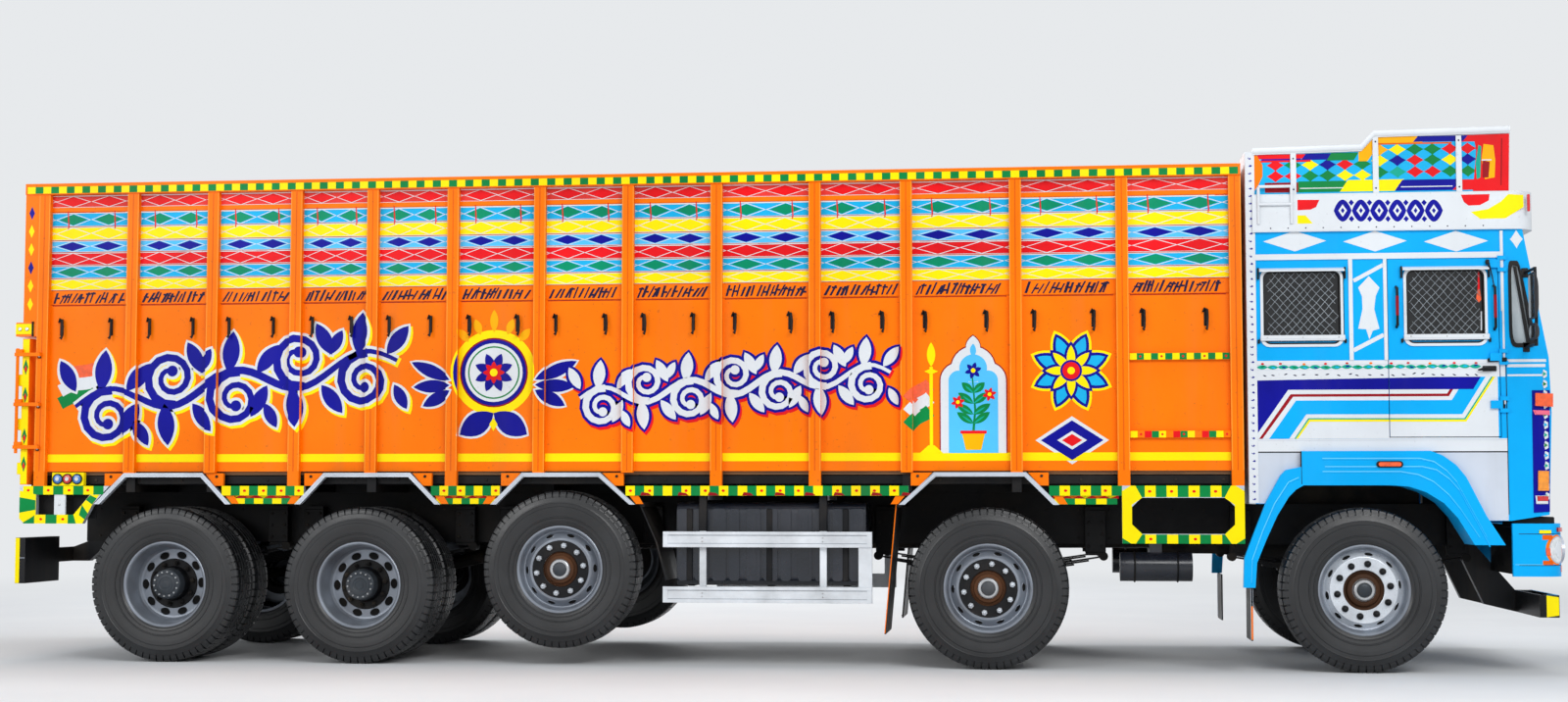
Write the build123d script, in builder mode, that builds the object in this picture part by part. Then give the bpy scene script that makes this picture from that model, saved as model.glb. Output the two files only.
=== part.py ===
from build123d import *
from math import cos, pi, sin
import os

os.makedirs("parts", exist_ok=True)

# Decorated five-axle truck, in millimetres.
# +X is forward, +Y is the vehicle's left, +Z is up.
# The origin is on the ground, at mid length and mid width.
SIDES = (("right", -1), ("left", 1))

# Overall
FRONT_X = 5118
REAR_X = -5118
GAP = 0.3           # seat clearance between pieces of different bodies
RUN_GAP = 5         # clearance of swinging pieces

# Wheels: a tyre is built of flat facets, one for each pitch of its tread
TYRE_RADIUS = 520
TYRE_WIDTH = 285
TYRE_SHOULDER_WIDTH = 226
TYRE_BULGE_RADIUS = 415
TREAD_FACETS = 30
RIM_RADIUS = 288
RIM_WIDTH = 250
RIM_LIP = 24
TRACK_OUTER = 1220
TWIN_SPACING = 325
SPINDLE_RADIUS = 40
SPINDLE_REACH = 1130
HUB_RADIUS = 92
HUB_REACH_SINGLE = 1208
HUB_REACH_TWIN = 1196
DISC_INSET_SINGLE = 30
DISC_INSET_TWIN = 150
DISC_RADIUS_SINGLE = 205
DISC_RADIUS_TWIN = 232

# Axles: number, x, height above normal, twin wheels, steering
AXLES = (
    (1, 3856, 0, False, True),
    (2, 1486, 0, False, True),
    (3, -1332, 111, False, False),
    (4, -2699, 0, True, False),
    (5, -4047, 0, True, False),
)
KINGPIN_Y = 868
KINGPIN_RADIUS = 24
BOSS_RADIUS = 42
BOSS_HALF_HEIGHT = 60
EAR_HEIGHT = 28
YOKE_NEAR = 914
YOKE_FAR = 936
AXLE_TUBE_RADIUS = 66
AXLE_TUBE_REACH = 590

# Chassis
RAIL_OUTER = 430
RAIL_FLANGE = 70
RAIL_WALL = 9
RAIL_BOTTOM = 790
RAIL_TOP = 1060
RAIL_REAR_X = -4950
RAIL_FRONT_X = 4760
CROSS_MEMBER_X = (4640, 2480, 800, -560, -2015, -3373, -4860)
CROSS_MEMBER_LENGTH = 80
CROSS_MEMBER_HEIGHT = 150
SPRING_Y = 475
SPRING_WIDTH = 80

# Cargo body
BODY_REAR_X = -5066
CORNER_FRONT_X = -4969
BODY_FRONT_X = 3115
BODY_INNER_Y = 1170
BOARD_THICKNESS = 32
BODY_PANEL_Y = BODY_INNER_Y + BOARD_THICKNESS
POST_DEPTH = 43
BODY_OUTER_Y = BODY_PANEL_Y + POST_DEPTH
POST_WIDTH = 78
FLOOR_TOP = 1290
FLOOR_THICKNESS = 35
PANEL_BOTTOM = 1278
PANEL_TOP = 2412
TOP_RAIL_BOTTOM = 3172
TOP_RAIL_TOP = 3246
RUB_RAIL_BOTTOM = 1117
RUB_RAIL_TOP = 1181
ARCH_TOP = 1268
ARCH_FOOT = 1058
TRIM_WIDTH = 28
BEARER_WIDTH = 62
HEADBOARD_DEPTH = 60
HEADBOARD_PANEL = 30
RUNNER_HEIGHT = 80

# Side posts: x of the middle, height of the foot
POSTS = (
    (-4930, RUB_RAIL_TOP),
    (-4298, ARCH_TOP),
    (-3731, ARCH_TOP),
    (-3147, RUB_RAIL_TOP),
    (-2617, ARCH_TOP),
    (-2064, RUB_RAIL_TOP),
    (-1472, ARCH_TOP),
    (-876, ARCH_TOP),
    (-284, RUB_RAIL_TOP),
    (367, RUB_RAIL_TOP),
    (966, ARCH_TOP),
    (1675, ARCH_TOP),
    (2359, RUB_RAIL_TOP),
    (3077, RUB_RAIL_TOP),
)
# Boards of the upper side: bottom, top
BOARDS = (
    (2418, 2512),
    (2518, 2594),
    (2600, 2682),
    (2688, 2773),
    (2779, 2855),
    (2861, 2950),
    (2956, 3048),
    (3056, 3166),
)
# Wheel arches of the body: rear foot, rear top, front top, front foot
ARCHES = (
    (-4539, -4329, -3778, -3576),
    (-3134, -2934, -2341, -2132),
    (-1793, -1582, -1055, -819),
    (913, 1142, 1735, 1946),
)
# Rub rails between the arches: rear end, front end
RUB_RAILS = ((-3640, -3070), (-2196, -1729), (-883, 977), (1882, 2344))

# Rear end
DOOR_TOP = 2185
DOOR_BOTTOM = 1190
DOOR_THICKNESS = 38
DOOR_STILE = 52
HINGE_X = -5093
HINGE_Y = BODY_OUTER_Y + 17
HINGE_RADIUS = 11
HINGE_BOSS = 16
# bottom and top of each knuckle on the body
KNUCKLES = ((1433, 1457), (1723, 1747), (2063, 2087))
DOOR_LUG = 24
TIE_BOTTOM = 2200
TIE_TOP = 2295
TIE_REACH = 52

# Cab
CAB_REAR_X = 3144
CAB_WALL = 42
CAB_OUTER_Y = 1235
CAB_INNER_Y = CAB_OUTER_Y - CAB_WALL
CAB_CORNER_TOP = 3319
CAB_FLOOR_TOP = 1440
CAB_FLOOR_THICKNESS = 40
BELT_Z = 1984
CAB_SKIRT_BOTTOM = 1065
ROOF_EDGE_Z = 2799
DOOR_X = (4026, 4706)
DOOR_Z = (1489, 2637)
DOOR_GAP = 5
DOOR_HINGE_X = 4711
DOOR_HINGE_Y = CAB_OUTER_Y + 12
DOOR_HINGES = (1690, 1990, 2580)
DOOR_PIN = 9
DOOR_KNUCKLE = 50
WINDOW_REAR_X = (3250, 3755)
WINDOW_DOOR_X = (4142, 4626)
WINDOW_Z = (2097, 2540)
GLASS_THICKNESS = 6
FENDER_OUTER_Y = 1281
FENDER_LINING_Y = 950
LINING_THICKNESS = 12


def middle(span):
    """Middle of a (low, high) pair."""
    return (span[0] + span[1]) / 2


def block(x, y, z, mode=Mode.ADD):
    """Box between corners; x, y and z are (low, high) pairs."""
    with Locations((middle(x), middle(y), middle(z))):
        Box(abs(x[1] - x[0]), abs(y[1] - y[0]), abs(z[1] - z[0]), mode=mode)


def across(x, y, z):
    """Plane square to the vehicle's width, with local x forward and local y up."""
    return Plane(origin=(x, y, z), x_dir=(1, 0, 0), z_dir=(0, -1, 0))


def save(piece, name):
    """Label a finished piece and write it."""
    piece.part.label = name
    export_step(piece.part, f"parts/{name}.step")


def profile_plate(points, y, mode=Mode.ADD):
    """Flat plate with a side-view outline, between two values of y."""
    with BuildSketch(across(0, max(y), 0)) as outline:
        with BuildLine():
            Polyline(*points, close=True)
        make_face()
    extrude(outline.sketch, amount=abs(y[1] - y[0]), mode=mode)


def facet(corners):
    """Flat face through its corners."""
    return Face(Wire.make_polygon([Vector(*corner) for corner in corners]))


def turned(x, z, stations, hollow):
    """Form of flat facets about a wheel's axis; stations are (y, radius) pairs.

    A hollow form joins its last station to its first, another is closed by flat ends.
    """
    turns = [2 * pi * index / TREAD_FACETS for index in range(TREAD_FACETS)]
    stretch = 1 / cos(pi / TREAD_FACETS)
    rings = []
    for y, radius in stations:
        reach = radius * stretch
        rings.append([(x + reach * cos(turn), y, z + reach * sin(turn)) for turn in turns])
    facets = [] if hollow else [facet(rings[0]), facet(rings[-1])]
    following = rings[1:] + rings[:1] if hollow else rings[1:]
    for near, far in zip(rings, following):
        for index in range(TREAD_FACETS):
            after = (index + 1) % TREAD_FACETS
            facets.append(facet((near[index], near[after], far[after], far[index])))
    add(Solid(Shell(facets)))


# Chassis frame: two channel rails joined by cross members, with spring hangers
def rail_section():
    """Channel section of the right rail, open inwards."""
    Polyline(
        (-RAIL_OUTER, RAIL_BOTTOM),
        (-RAIL_OUTER + RAIL_FLANGE, RAIL_BOTTOM),
        (-RAIL_OUTER + RAIL_FLANGE, RAIL_BOTTOM + RAIL_WALL),
        (-RAIL_OUTER + RAIL_WALL, RAIL_BOTTOM + RAIL_WALL),
        (-RAIL_OUTER + RAIL_WALL, RAIL_TOP - RAIL_WALL),
        (-RAIL_OUTER + RAIL_FLANGE, RAIL_TOP - RAIL_WALL),
        (-RAIL_OUTER + RAIL_FLANGE, RAIL_TOP),
        (-RAIL_OUTER, RAIL_TOP),
        close=True,
    )


# Springs: axle x, half length, height of the eyes, height of the leaf pack's underside
SPRINGS = (
    (3856, 760, 715, 560),
    (1486, 760, 715, 560),
    (-1332, 560, 790, 705),
    (-2699, 600, 770, 610),
    (-4047, 600, 770, 610),
)
SPRING_THICKNESS = 70
EYE_THICKNESS = 22
HANGER_LENGTH = 130

with BuildPart() as chassis_frame:
    with BuildSketch(Plane.YZ.offset(RAIL_REAR_X)):
        with BuildLine():
            rail_section()
        make_face()
        mirror(about=Plane.YZ)
    extrude(amount=RAIL_FRONT_X - RAIL_REAR_X)
    web_inner = RAIL_OUTER - RAIL_WALL
    for x in CROSS_MEMBER_X:
        z_middle = (RAIL_BOTTOM + RAIL_TOP) / 2
        block(
            (x - CROSS_MEMBER_LENGTH / 2, x + CROSS_MEMBER_LENGTH / 2),
            (-web_inner + GAP, web_inner - GAP),
            (z_middle - CROSS_MEMBER_HEIGHT / 2, z_middle + CROSS_MEMBER_HEIGHT / 2),
        )
    for x, half, eye_z, pack_z in SPRINGS:
        for end in (-1, 1):
            hanger_x = x + end * (half - HANGER_LENGTH / 2 + 10)
            for side in (-1, 1):
                block(
                    (hanger_x - HANGER_LENGTH / 2, hanger_x + HANGER_LENGTH / 2),
                    (side * (RAIL_OUTER + GAP), side * (SPRING_Y + SPRING_WIDTH / 2)),
                    (eye_z, RAIL_TOP - 20),
                )
save(chassis_frame, "chassis_frame")

# Leaf springs: arched packs hung between their hangers
with BuildPart() as leaf_springs:
    for x, half, eye_z, pack_z in SPRINGS:
        for side in (-1, 1):
            with BuildSketch(across(x, side * SPRING_Y + SPRING_WIDTH / 2, 0)):
                with BuildLine():
                    Polyline(
                        (-half, eye_z),
                        (-half, eye_z - EYE_THICKNESS),
                        (-half / 2, (eye_z + pack_z) / 2 - EYE_THICKNESS),
                        (-110, pack_z),
                        (110, pack_z),
                        (half / 2, (eye_z + pack_z) / 2 - EYE_THICKNESS),
                        (half, eye_z - EYE_THICKNESS),
                        (half, eye_z),
                        (half - HANGER_LENGTH, eye_z),
                        (110, pack_z + SPRING_THICKNESS),
                        (-110, pack_z + SPRING_THICKNESS),
                        (HANGER_LENGTH - half, eye_z),
                        close=True,
                    )
                make_face()
            extrude(amount=SPRING_WIDTH)
save(leaf_springs, "leaf_springs")

# Axles: forged beams at the steered wheels, tubes with a final drive behind
BEAM_DROP = 90
BEAM_HALF_DEPTH = 42
with BuildPart() as axles:
    for (number, x, lift, twin, steered), spring in zip(AXLES, SPRINGS):
        z = TYRE_RADIUS + lift
        pad_top = spring[3]
        if steered:
            low = z - BEAM_DROP
            with BuildSketch(Plane.YZ.offset(x - BEAM_HALF_DEPTH)):
                with BuildLine():
                    Polyline(
                        (0, low - BOSS_HALF_HEIGHT / 2),
                        (620, low - BOSS_HALF_HEIGHT / 2),
                        (790, z - BOSS_HALF_HEIGHT),
                        (KINGPIN_Y, z - BOSS_HALF_HEIGHT),
                        (KINGPIN_Y, z + BOSS_HALF_HEIGHT),
                        (760, z + BOSS_HALF_HEIGHT),
                        (SPRING_Y + SPRING_WIDTH, low + BOSS_HALF_HEIGHT),
                        (0, low + BOSS_HALF_HEIGHT),
                        close=True,
                    )
                make_face()
                mirror(about=Plane.YZ)
            extrude(amount=2 * BEAM_HALF_DEPTH)
            for side in (-1, 1):
                with Locations((x, side * KINGPIN_Y, z)):
                    Cylinder(BOSS_RADIUS, 2 * BOSS_HALF_HEIGHT)
                    Cylinder(KINGPIN_RADIUS + GAP, 2 * BOSS_HALF_HEIGHT, mode=Mode.SUBTRACT)
            beam_top = low + BOSS_HALF_HEIGHT
        else:
            with Locations(Location((x, 0, z), (90, 0, 0))):
                Cylinder(AXLE_TUBE_RADIUS, 2 * AXLE_TUBE_REACH)
                Cylinder(SPINDLE_RADIUS, 2 * SPINDLE_REACH)
                if twin:
                    Cylinder(190, 210)
            beam_top = z + AXLE_TUBE_RADIUS - 20
        for side in (-1, 1):
            block(
                (x - 60, x + 60),
                (side * SPRING_Y - SPRING_WIDTH / 2, side * SPRING_Y + SPRING_WIDTH / 2),
                (beam_top - 15, pad_top),
            )
save(axles, "axles")

# Steering knuckles: a yoke about the kingpin, a spindle and a steering arm
ARM_LENGTH = 190
for number, x, lift, twin, steered in AXLES:
    if not steered:
        continue
    z = TYRE_RADIUS + lift
    for side_name, side in SIDES:
        ear_low = BOSS_HALF_HEIGHT + 2
        ear_high = ear_low + EAR_HEIGHT
        with BuildPart() as knuckle:
            for up in (-1, 1):
                with Locations((x, side * KINGPIN_Y, z + up * (ear_low + ear_high) / 2)):
                    Cylinder(BOSS_RADIUS, EAR_HEIGHT)
                block(
                    (x - BOSS_RADIUS, x + BOSS_RADIUS),
                    (side * KINGPIN_Y, side * YOKE_FAR),
                    (z + up * ear_low, z + up * ear_high),
                )
            with Locations((x, side * KINGPIN_Y, z)):
                Cylinder(KINGPIN_RADIUS, 2 * ear_low)
            block(
                (x - BOSS_RADIUS, x + BOSS_RADIUS),
                (side * YOKE_NEAR, side * YOKE_FAR),
                (z - ear_high, z + ear_high),
            )
            with Locations(Location((x, side * middle((YOKE_FAR, SPINDLE_REACH)), z), (90, 0, 0))):
                Cylinder(SPINDLE_RADIUS, SPINDLE_REACH - YOKE_FAR)
            block(
                (x - ARM_LENGTH, x),
                (side * (KINGPIN_Y - 22), side * (KINGPIN_Y + 22)),
                (z - ear_high, z - ear_low),
            )
        save(knuckle, f"knuckle_{number}_{side_name}")

# Wheels: tyre and rim of each, twins side by side on one body
tyre_middle = TRACK_OUTER - TYRE_WIDTH / 2
rim_inset = (TYRE_WIDTH - RIM_WIDTH) / 2
rim_outer = TRACK_OUTER - rim_inset
rim_inner = rim_outer - RIM_WIDTH
for number, x, lift, twin, steered in AXLES:
    z = TYRE_RADIUS + lift
    tyre_places = (tyre_middle, tyre_middle - TWIN_SPACING) if twin else (tyre_middle,)
    for side_name, side in SIDES:
        with BuildPart() as tyre:
            for place in tyre_places:
                bead = RIM_WIDTH / 2 - 4
                turned(x, z, (
                    (side * (place - bead), RIM_RADIUS),
                    (side * (place - TYRE_WIDTH / 2), TYRE_BULGE_RADIUS),
                    (side * (place - TYRE_SHOULDER_WIDTH / 2), TYRE_RADIUS),
                    (side * (place + TYRE_SHOULDER_WIDTH / 2), TYRE_RADIUS),
                    (side * (place + TYRE_WIDTH / 2), TYRE_BULGE_RADIUS),
                    (side * (place + bead), RIM_RADIUS),
                ), hollow=True)
        save(tyre, f"tyre_{number}_{side_name}")

        disc_inset = DISC_INSET_TWIN if twin else DISC_INSET_SINGLE
        disc_radius = DISC_RADIUS_TWIN if twin else DISC_RADIUS_SINGLE
        hub_reach = HUB_REACH_TWIN if twin else HUB_REACH_SINGLE
        lip_radius = RIM_RADIUS - RIM_LIP
        inner_rim = (
            (side * (rim_inner - TWIN_SPACING), RIM_RADIUS),
            (side * (rim_outer - TWIN_SPACING), RIM_RADIUS),
            (side * (rim_outer - TWIN_SPACING), DISC_RADIUS_TWIN),
            (side * rim_inner, DISC_RADIUS_TWIN),
        )
        outer_rim = (
            (side * rim_inner, RIM_RADIUS),
            (side * rim_outer, RIM_RADIUS),
            (side * rim_outer, lip_radius),
            (side * (rim_outer - disc_inset), disc_radius),
            (side * (rim_outer - disc_inset), HUB_RADIUS),
            (side * hub_reach, HUB_RADIUS * 0.8),
        )
        with BuildPart() as rim:
            turned(x, z, (*inner_rim, *outer_rim) if twin else outer_rim, hollow=False)
            bore_inner = rim_inner - TWIN_SPACING if twin else rim_inner
            bore_span = (side * bore_inner, side * (SPINDLE_REACH + 2))
            with Locations(Location((x, middle(bore_span), z), (90, 0, 0))):
                Cylinder(SPINDLE_RADIUS + GAP, abs(bore_span[1] - bore_span[0]), mode=Mode.SUBTRACT)
        save(rim, f"rim_{number}_{side_name}")

# Driveline: engine, gearbox and the propeller shafts over the lift axle
ENGINE_X = (3250, 4350)
GEARBOX_X = (2600, 3250)
ENGINE_MOUNTS = (3400, 4150)
SHAFT_RADIUS = 46
# shafts: start x and height, end x and height
SHAFTS = (
    (GEARBOX_X[0], 800, -1700, 780),
    (-1700, 780, -2498, 600),
)
with BuildPart() as driveline:
    block(ENGINE_X, (-330, 330), (700, 1290))
    block(GEARBOX_X, (-180, 180), (720, 1010))
    for x in ENGINE_MOUNTS:
        block((x - 50, x + 50), (-RAIL_OUTER + RAIL_WALL, RAIL_OUTER - RAIL_WALL), (840, 900))
    for start_x, start_z, end_x, end_z in SHAFTS:
        run = (end_x - start_x, end_z - start_z)
        with BuildSketch(Plane(origin=(start_x, 0, start_z), z_dir=(run[0], 0, run[1]))):
            RegularPolygon(SHAFT_RADIUS, 12)
        extrude(amount=(run[0] ** 2 + run[1] ** 2) ** 0.5)
save(driveline, "driveline")

# Tanks: ribbed fuel tank on brackets, air tanks ahead of it
TANK_X = (-557, 692)
TANK_Z = (528, 1070)
TANK_Y = (620, 1150)
TANK_CORNER = 70
AIR_TANK_RADIUS = 95
with BuildPart() as tanks:
    with BuildSketch(Plane.YZ.offset(TANK_X[0])):
        with Locations((-middle(TANK_Y), middle(TANK_Z))):
            RectangleRounded(TANK_Y[1] - TANK_Y[0], TANK_Z[1] - TANK_Z[0], TANK_CORNER)
    extrude(amount=TANK_X[1] - TANK_X[0])
    for bracket_x in (-376, 417):
        block((bracket_x - 30, bracket_x + 30), (-TANK_Y[0], -RAIL_OUTER), (860, 960))
    for side in (-1, 1):
        with Locations(Location((2580, side * 740, 648), (0, 90, 0))):
            Cylinder(AIR_TANK_RADIUS, 470)
        block((2540, 2620), (side * 740, side * RAIL_OUTER), (740, 800))
save(tanks, "tanks")

# Side guards: two bars on upright posts each side, hung from the frame's brackets
GUARD_X = (-637, 738)
GUARD_Y = (1196, 1226)
GUARD_BARS = ((419, 523), (780, 882))
GUARD_POSTS = (-376, 417)
GUARD_POST_WIDTH = 44
GUARD_POST_DEPTH = 30
GUARD_END_WIDTH = 88
GUARD_BRACKET_Z = (1085, 1125)
with BuildPart() as side_guards:
    for side in (-1, 1):
        outer = (side * GUARD_Y[0], side * GUARD_Y[1])
        for bar in GUARD_BARS:
            block(GUARD_X, outer, bar)
        block((GUARD_X[1] - GUARD_END_WIDTH, GUARD_X[1]), outer, (GUARD_BARS[0][1] + GAP, GUARD_BARS[1][0] - GAP))
        for post_x in GUARD_POSTS:
            post_span = (post_x - GUARD_POST_WIDTH / 2, post_x + GUARD_POST_WIDTH / 2)
            post_y = (side * (GUARD_Y[0] - GUARD_POST_DEPTH), side * (GUARD_Y[0] - GAP))
            block(post_span, post_y, (GUARD_BARS[0][0], GUARD_BRACKET_Z[0] - GAP))
            block(post_span, (side * RAIL_OUTER, side * GUARD_Y[0]), GUARD_BRACKET_Z)
save(side_guards, "side_guards")

# Under frame of the cargo body: runners on the rails, bearers across them
BEARER_X = (-4930, -4298, -3731, -3147, -2617, -2064, -1472, -876, -284, 367, 966, 1675, 2359, 3060)
# bearers that end short of the raised wheels
SHORT_BEARER_X = (-1472, -876)
SHORT_BEARER_Y = 900
bearer_bottom = RAIL_TOP + RUNNER_HEIGHT
floor_bottom = FLOOR_TOP - FLOOR_THICKNESS
with BuildPart() as body_underframe:
    for side in (-1, 1):
        block(
            (BODY_REAR_X + 60, BODY_FRONT_X),
            (side * (RAIL_OUTER - RAIL_FLANGE), side * RAIL_OUTER),
            (RAIL_TOP, bearer_bottom - GAP),
        )
    for x in BEARER_X:
        reach = SHORT_BEARER_Y if x in SHORT_BEARER_X else BODY_PANEL_Y
        block(
            (x - BEARER_WIDTH / 2, x + BEARER_WIDTH / 2),
            (-reach, reach),
            (bearer_bottom, floor_bottom),
        )
save(body_underframe, "body_underframe")

with BuildPart() as cargo_floor:
    block(
        (BODY_REAR_X + 60, BODY_FRONT_X - HEADBOARD_DEPTH),
        (-BODY_INNER_Y, BODY_INNER_Y),
        (floor_bottom, FLOOR_TOP),
    )
save(cargo_floor, "cargo_floor")

# Skirt frames: rub rails, arch trims and the framed boxes beside them
FRONT_BOX = ((2344, 3115), (812, RUB_RAIL_TOP))
FRONT_BOX_HOLE = ((2406, 3059), (874, 1104))
FRONT_BOX_CHAMFER = 60
# side views: x, z
REAR_BOX = (
    (BODY_REAR_X, 957), (BODY_REAR_X + 30, 927), (-4615, 927), (-4545, 1058),
    (-4430, RUB_RAIL_TOP), (BODY_REAR_X, RUB_RAIL_TOP),
)
REAR_BOX_HOLE = ((-4947, 987), (-4679, 987), (-4564, 1123), (-4947, 1123))
with BuildPart() as skirt_frames:
    for side in (-1, 1):
        rail_y = (side * BODY_PANEL_Y, side * BODY_OUTER_Y)
        for span in RUB_RAILS:
            block(span, rail_y, (RUB_RAIL_BOTTOM, RUB_RAIL_TOP))
        for rear_foot, rear_top, front_top, front_foot in ARCHES:
            profile_plate((
                (rear_foot, ARCH_FOOT),
                (rear_top, ARCH_TOP),
                (front_top, ARCH_TOP),
                (front_foot, ARCH_FOOT),
                (front_foot - 1.4 * TRIM_WIDTH, ARCH_FOOT),
                (front_top - 0.4 * TRIM_WIDTH, ARCH_TOP - TRIM_WIDTH),
                (rear_top + 0.4 * TRIM_WIDTH, ARCH_TOP - TRIM_WIDTH),
                (rear_foot + 1.4 * TRIM_WIDTH, ARCH_FOOT),
            ), rail_y)
        block(FRONT_BOX[0], rail_y, FRONT_BOX[1])
        with BuildSketch(across(0, max(rail_y), 0)):
            with Locations((middle(FRONT_BOX_HOLE[0]), middle(FRONT_BOX_HOLE[1]))):
                hole = Rectangle(
                    FRONT_BOX_HOLE[0][1] - FRONT_BOX_HOLE[0][0],
                    FRONT_BOX_HOLE[1][1] - FRONT_BOX_HOLE[1][0],
                )
            chamfer(hole.vertices(), FRONT_BOX_CHAMFER)
        extrude(amount=POST_DEPTH, mode=Mode.SUBTRACT)
        profile_plate(REAR_BOX, rail_y)
        profile_plate(REAR_BOX_HOLE, rail_y, mode=Mode.SUBTRACT)
save(skirt_frames, "skirt_frames")

# Mud flaps: behind the second wheels, ahead of the raised ones and under the cab's fenders
FLAP_THICKNESS = 10
FLAP_Y = (640, 1190)
FLAP_ARM_Z = (1042, 1072)
FLAP_ARM_WIDTH = 30
# rear face in side view, from the arm down: x, z
FLAPS = (
    ((891, FLAP_ARM_Z[1]), (814, 221)),
    ((-807, FLAP_ARM_Z[1]), (-691, 811), (-625, 561)),
)
CAB_FLAP_X = 3143
CAB_FLAP_BOTTOM = 202
FENDER_FOOT_Z = 536
with BuildPart() as mud_flaps:
    for side in (-1, 1):
        flap_y = (side * FLAP_Y[0], side * FLAP_Y[1])
        for face in FLAPS:
            back = tuple((x + FLAP_THICKNESS, z) for x, z in reversed(face))
            profile_plate((*face, *back), flap_y)
            arm_x = face[0][0] + FLAP_THICKNESS
            block((arm_x, arm_x + FLAP_ARM_WIDTH), (side * RAIL_OUTER, side * FLAP_Y[1]), FLAP_ARM_Z)
        block(
            (CAB_FLAP_X, CAB_FLAP_X + FLAP_THICKNESS),
            (side * FENDER_LINING_Y, side * FENDER_OUTER_Y),
            (CAB_FLAP_BOTTOM, FENDER_FOOT_Z),
        )
save(mud_flaps, "mud_flaps")

# Cargo sides: smooth panel, boards above it, posts outside and a top rail
for side_name, side in SIDES:
    panel_y = (side * BODY_INNER_Y, side * BODY_PANEL_Y)
    post_y = (side * BODY_PANEL_Y, side * BODY_OUTER_Y)
    wall_x = (CORNER_FRONT_X, BODY_FRONT_X)
    with BuildPart() as cargo_side:
        block(wall_x, panel_y, (PANEL_BOTTOM, PANEL_TOP))
        for board in BOARDS:
            block(wall_x, panel_y, board)
        for x, foot in POSTS:
            block((x - POST_WIDTH / 2, x + POST_WIDTH / 2), post_y, (foot, TOP_RAIL_BOTTOM))
        block(
            (BODY_REAR_X, BODY_FRONT_X),
            (side * BODY_INNER_Y, side * (BODY_OUTER_Y + 10)),
            (TOP_RAIL_BOTTOM, TOP_RAIL_TOP),
        )
        strap_near = BODY_OUTER_Y + RUN_GAP
        for z in KNUCKLES:
            block(
                (HINGE_X - HINGE_BOSS, HINGE_X + HINGE_BOSS),
                (side * (BODY_OUTER_Y + 1), side * (HINGE_Y + HINGE_BOSS)),
                z,
            )
            block(
                (HINGE_X, POSTS[0][0]),
                (side * strap_near, side * (HINGE_Y + HINGE_BOSS)),
                z,
            )
            block((CORNER_FRONT_X, POSTS[0][0]), (side * BODY_OUTER_Y, side * strap_near), z)
        with Locations((HINGE_X, side * HINGE_Y, middle((KNUCKLES[0][0], KNUCKLES[-1][1])))):
            Cylinder(HINGE_RADIUS + GAP, 2000, mode=Mode.SUBTRACT)
    save(cargo_side, f"cargo_side_{side_name}")

# Headboard: panel with upright ribs between the sides
with BuildPart() as headboard:
    panel_x = (BODY_FRONT_X - HEADBOARD_PANEL, BODY_FRONT_X)
    rib_x = (BODY_FRONT_X - HEADBOARD_DEPTH, BODY_FRONT_X - HEADBOARD_PANEL)
    block(panel_x, (-BODY_INNER_Y, BODY_INNER_Y), (floor_bottom, TOP_RAIL_TOP))
    for y in (-780, -390, 0, 390, 780):
        block(rib_x, (y - 30, y + 30), (floor_bottom, TOP_RAIL_TOP))
save(headboard, "headboard")

# Rear frame: sill, upper boards, corner pieces, tie beam and the hinge rods
with BuildPart() as rear_frame:
    block((BODY_REAR_X, BODY_REAR_X + 60), (-BODY_OUTER_Y, BODY_OUTER_Y), (TIE_BOTTOM, PANEL_TOP))
    for board in BOARDS:
        block((BODY_REAR_X + 14, BODY_REAR_X + 46), (-BODY_INNER_Y, BODY_INNER_Y), board)
    for side in (-1, 1):
        block(
            (BODY_REAR_X, CORNER_FRONT_X),
            (side * (BODY_INNER_Y - 10), side * BODY_OUTER_Y),
            (TIE_BOTTOM, TOP_RAIL_BOTTOM),
        )
    for y in (-390, 390):
        block((BODY_REAR_X, BODY_REAR_X + 60), (y - 35, y + 35), (PANEL_TOP, TOP_RAIL_BOTTOM))
    block((BODY_REAR_X, BODY_REAR_X + 60), (-BODY_INNER_Y, BODY_INNER_Y), (TOP_RAIL_BOTTOM, TOP_RAIL_TOP))
    block((BODY_REAR_X - TIE_REACH, BODY_REAR_X), (-BODY_OUTER_Y, BODY_OUTER_Y), (TIE_BOTTOM, TIE_TOP))
save(rear_frame, "rear_frame")

# Rear doors: boards in a frame, each hung on a rod at the body's side
for side_name, side in SIDES:
    with BuildPart() as rear_door:
        block(
            (BODY_REAR_X, BODY_REAR_X + DOOR_THICKNESS),
            (side * DOOR_GAP, side * BODY_OUTER_Y),
            (DOOR_BOTTOM, DOOR_TOP),
        )
        block(
            (BODY_REAR_X, BODY_REAR_X + DOOR_STILE),
            (side * (BODY_INNER_Y - 30), side * BODY_OUTER_Y),
            (DOOR_BOTTOM, DOOR_TOP),
        )
        for z in (1300, 1600, 1900):
            block(
                (BODY_REAR_X - 22, BODY_REAR_X),
                (side * 40, side * BODY_OUTER_Y),
                (z - 40, z + 40),
            )
        with Locations((HINGE_X, side * HINGE_Y, middle((KNUCKLES[0][0], KNUCKLES[-1][1])))):
            Cylinder(HINGE_RADIUS, KNUCKLES[-1][1] - KNUCKLES[0][0] + 60)
        for low, high in KNUCKLES:
            block(
                (HINGE_X - HINGE_RADIUS, BODY_REAR_X + 10),
                (side * (BODY_OUTER_Y - 60), side * (HINGE_Y + HINGE_RADIUS)),
                (high + GAP, high + DOOR_LUG),
            )
    save(rear_door, f"rear_door_{side_name}")

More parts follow.
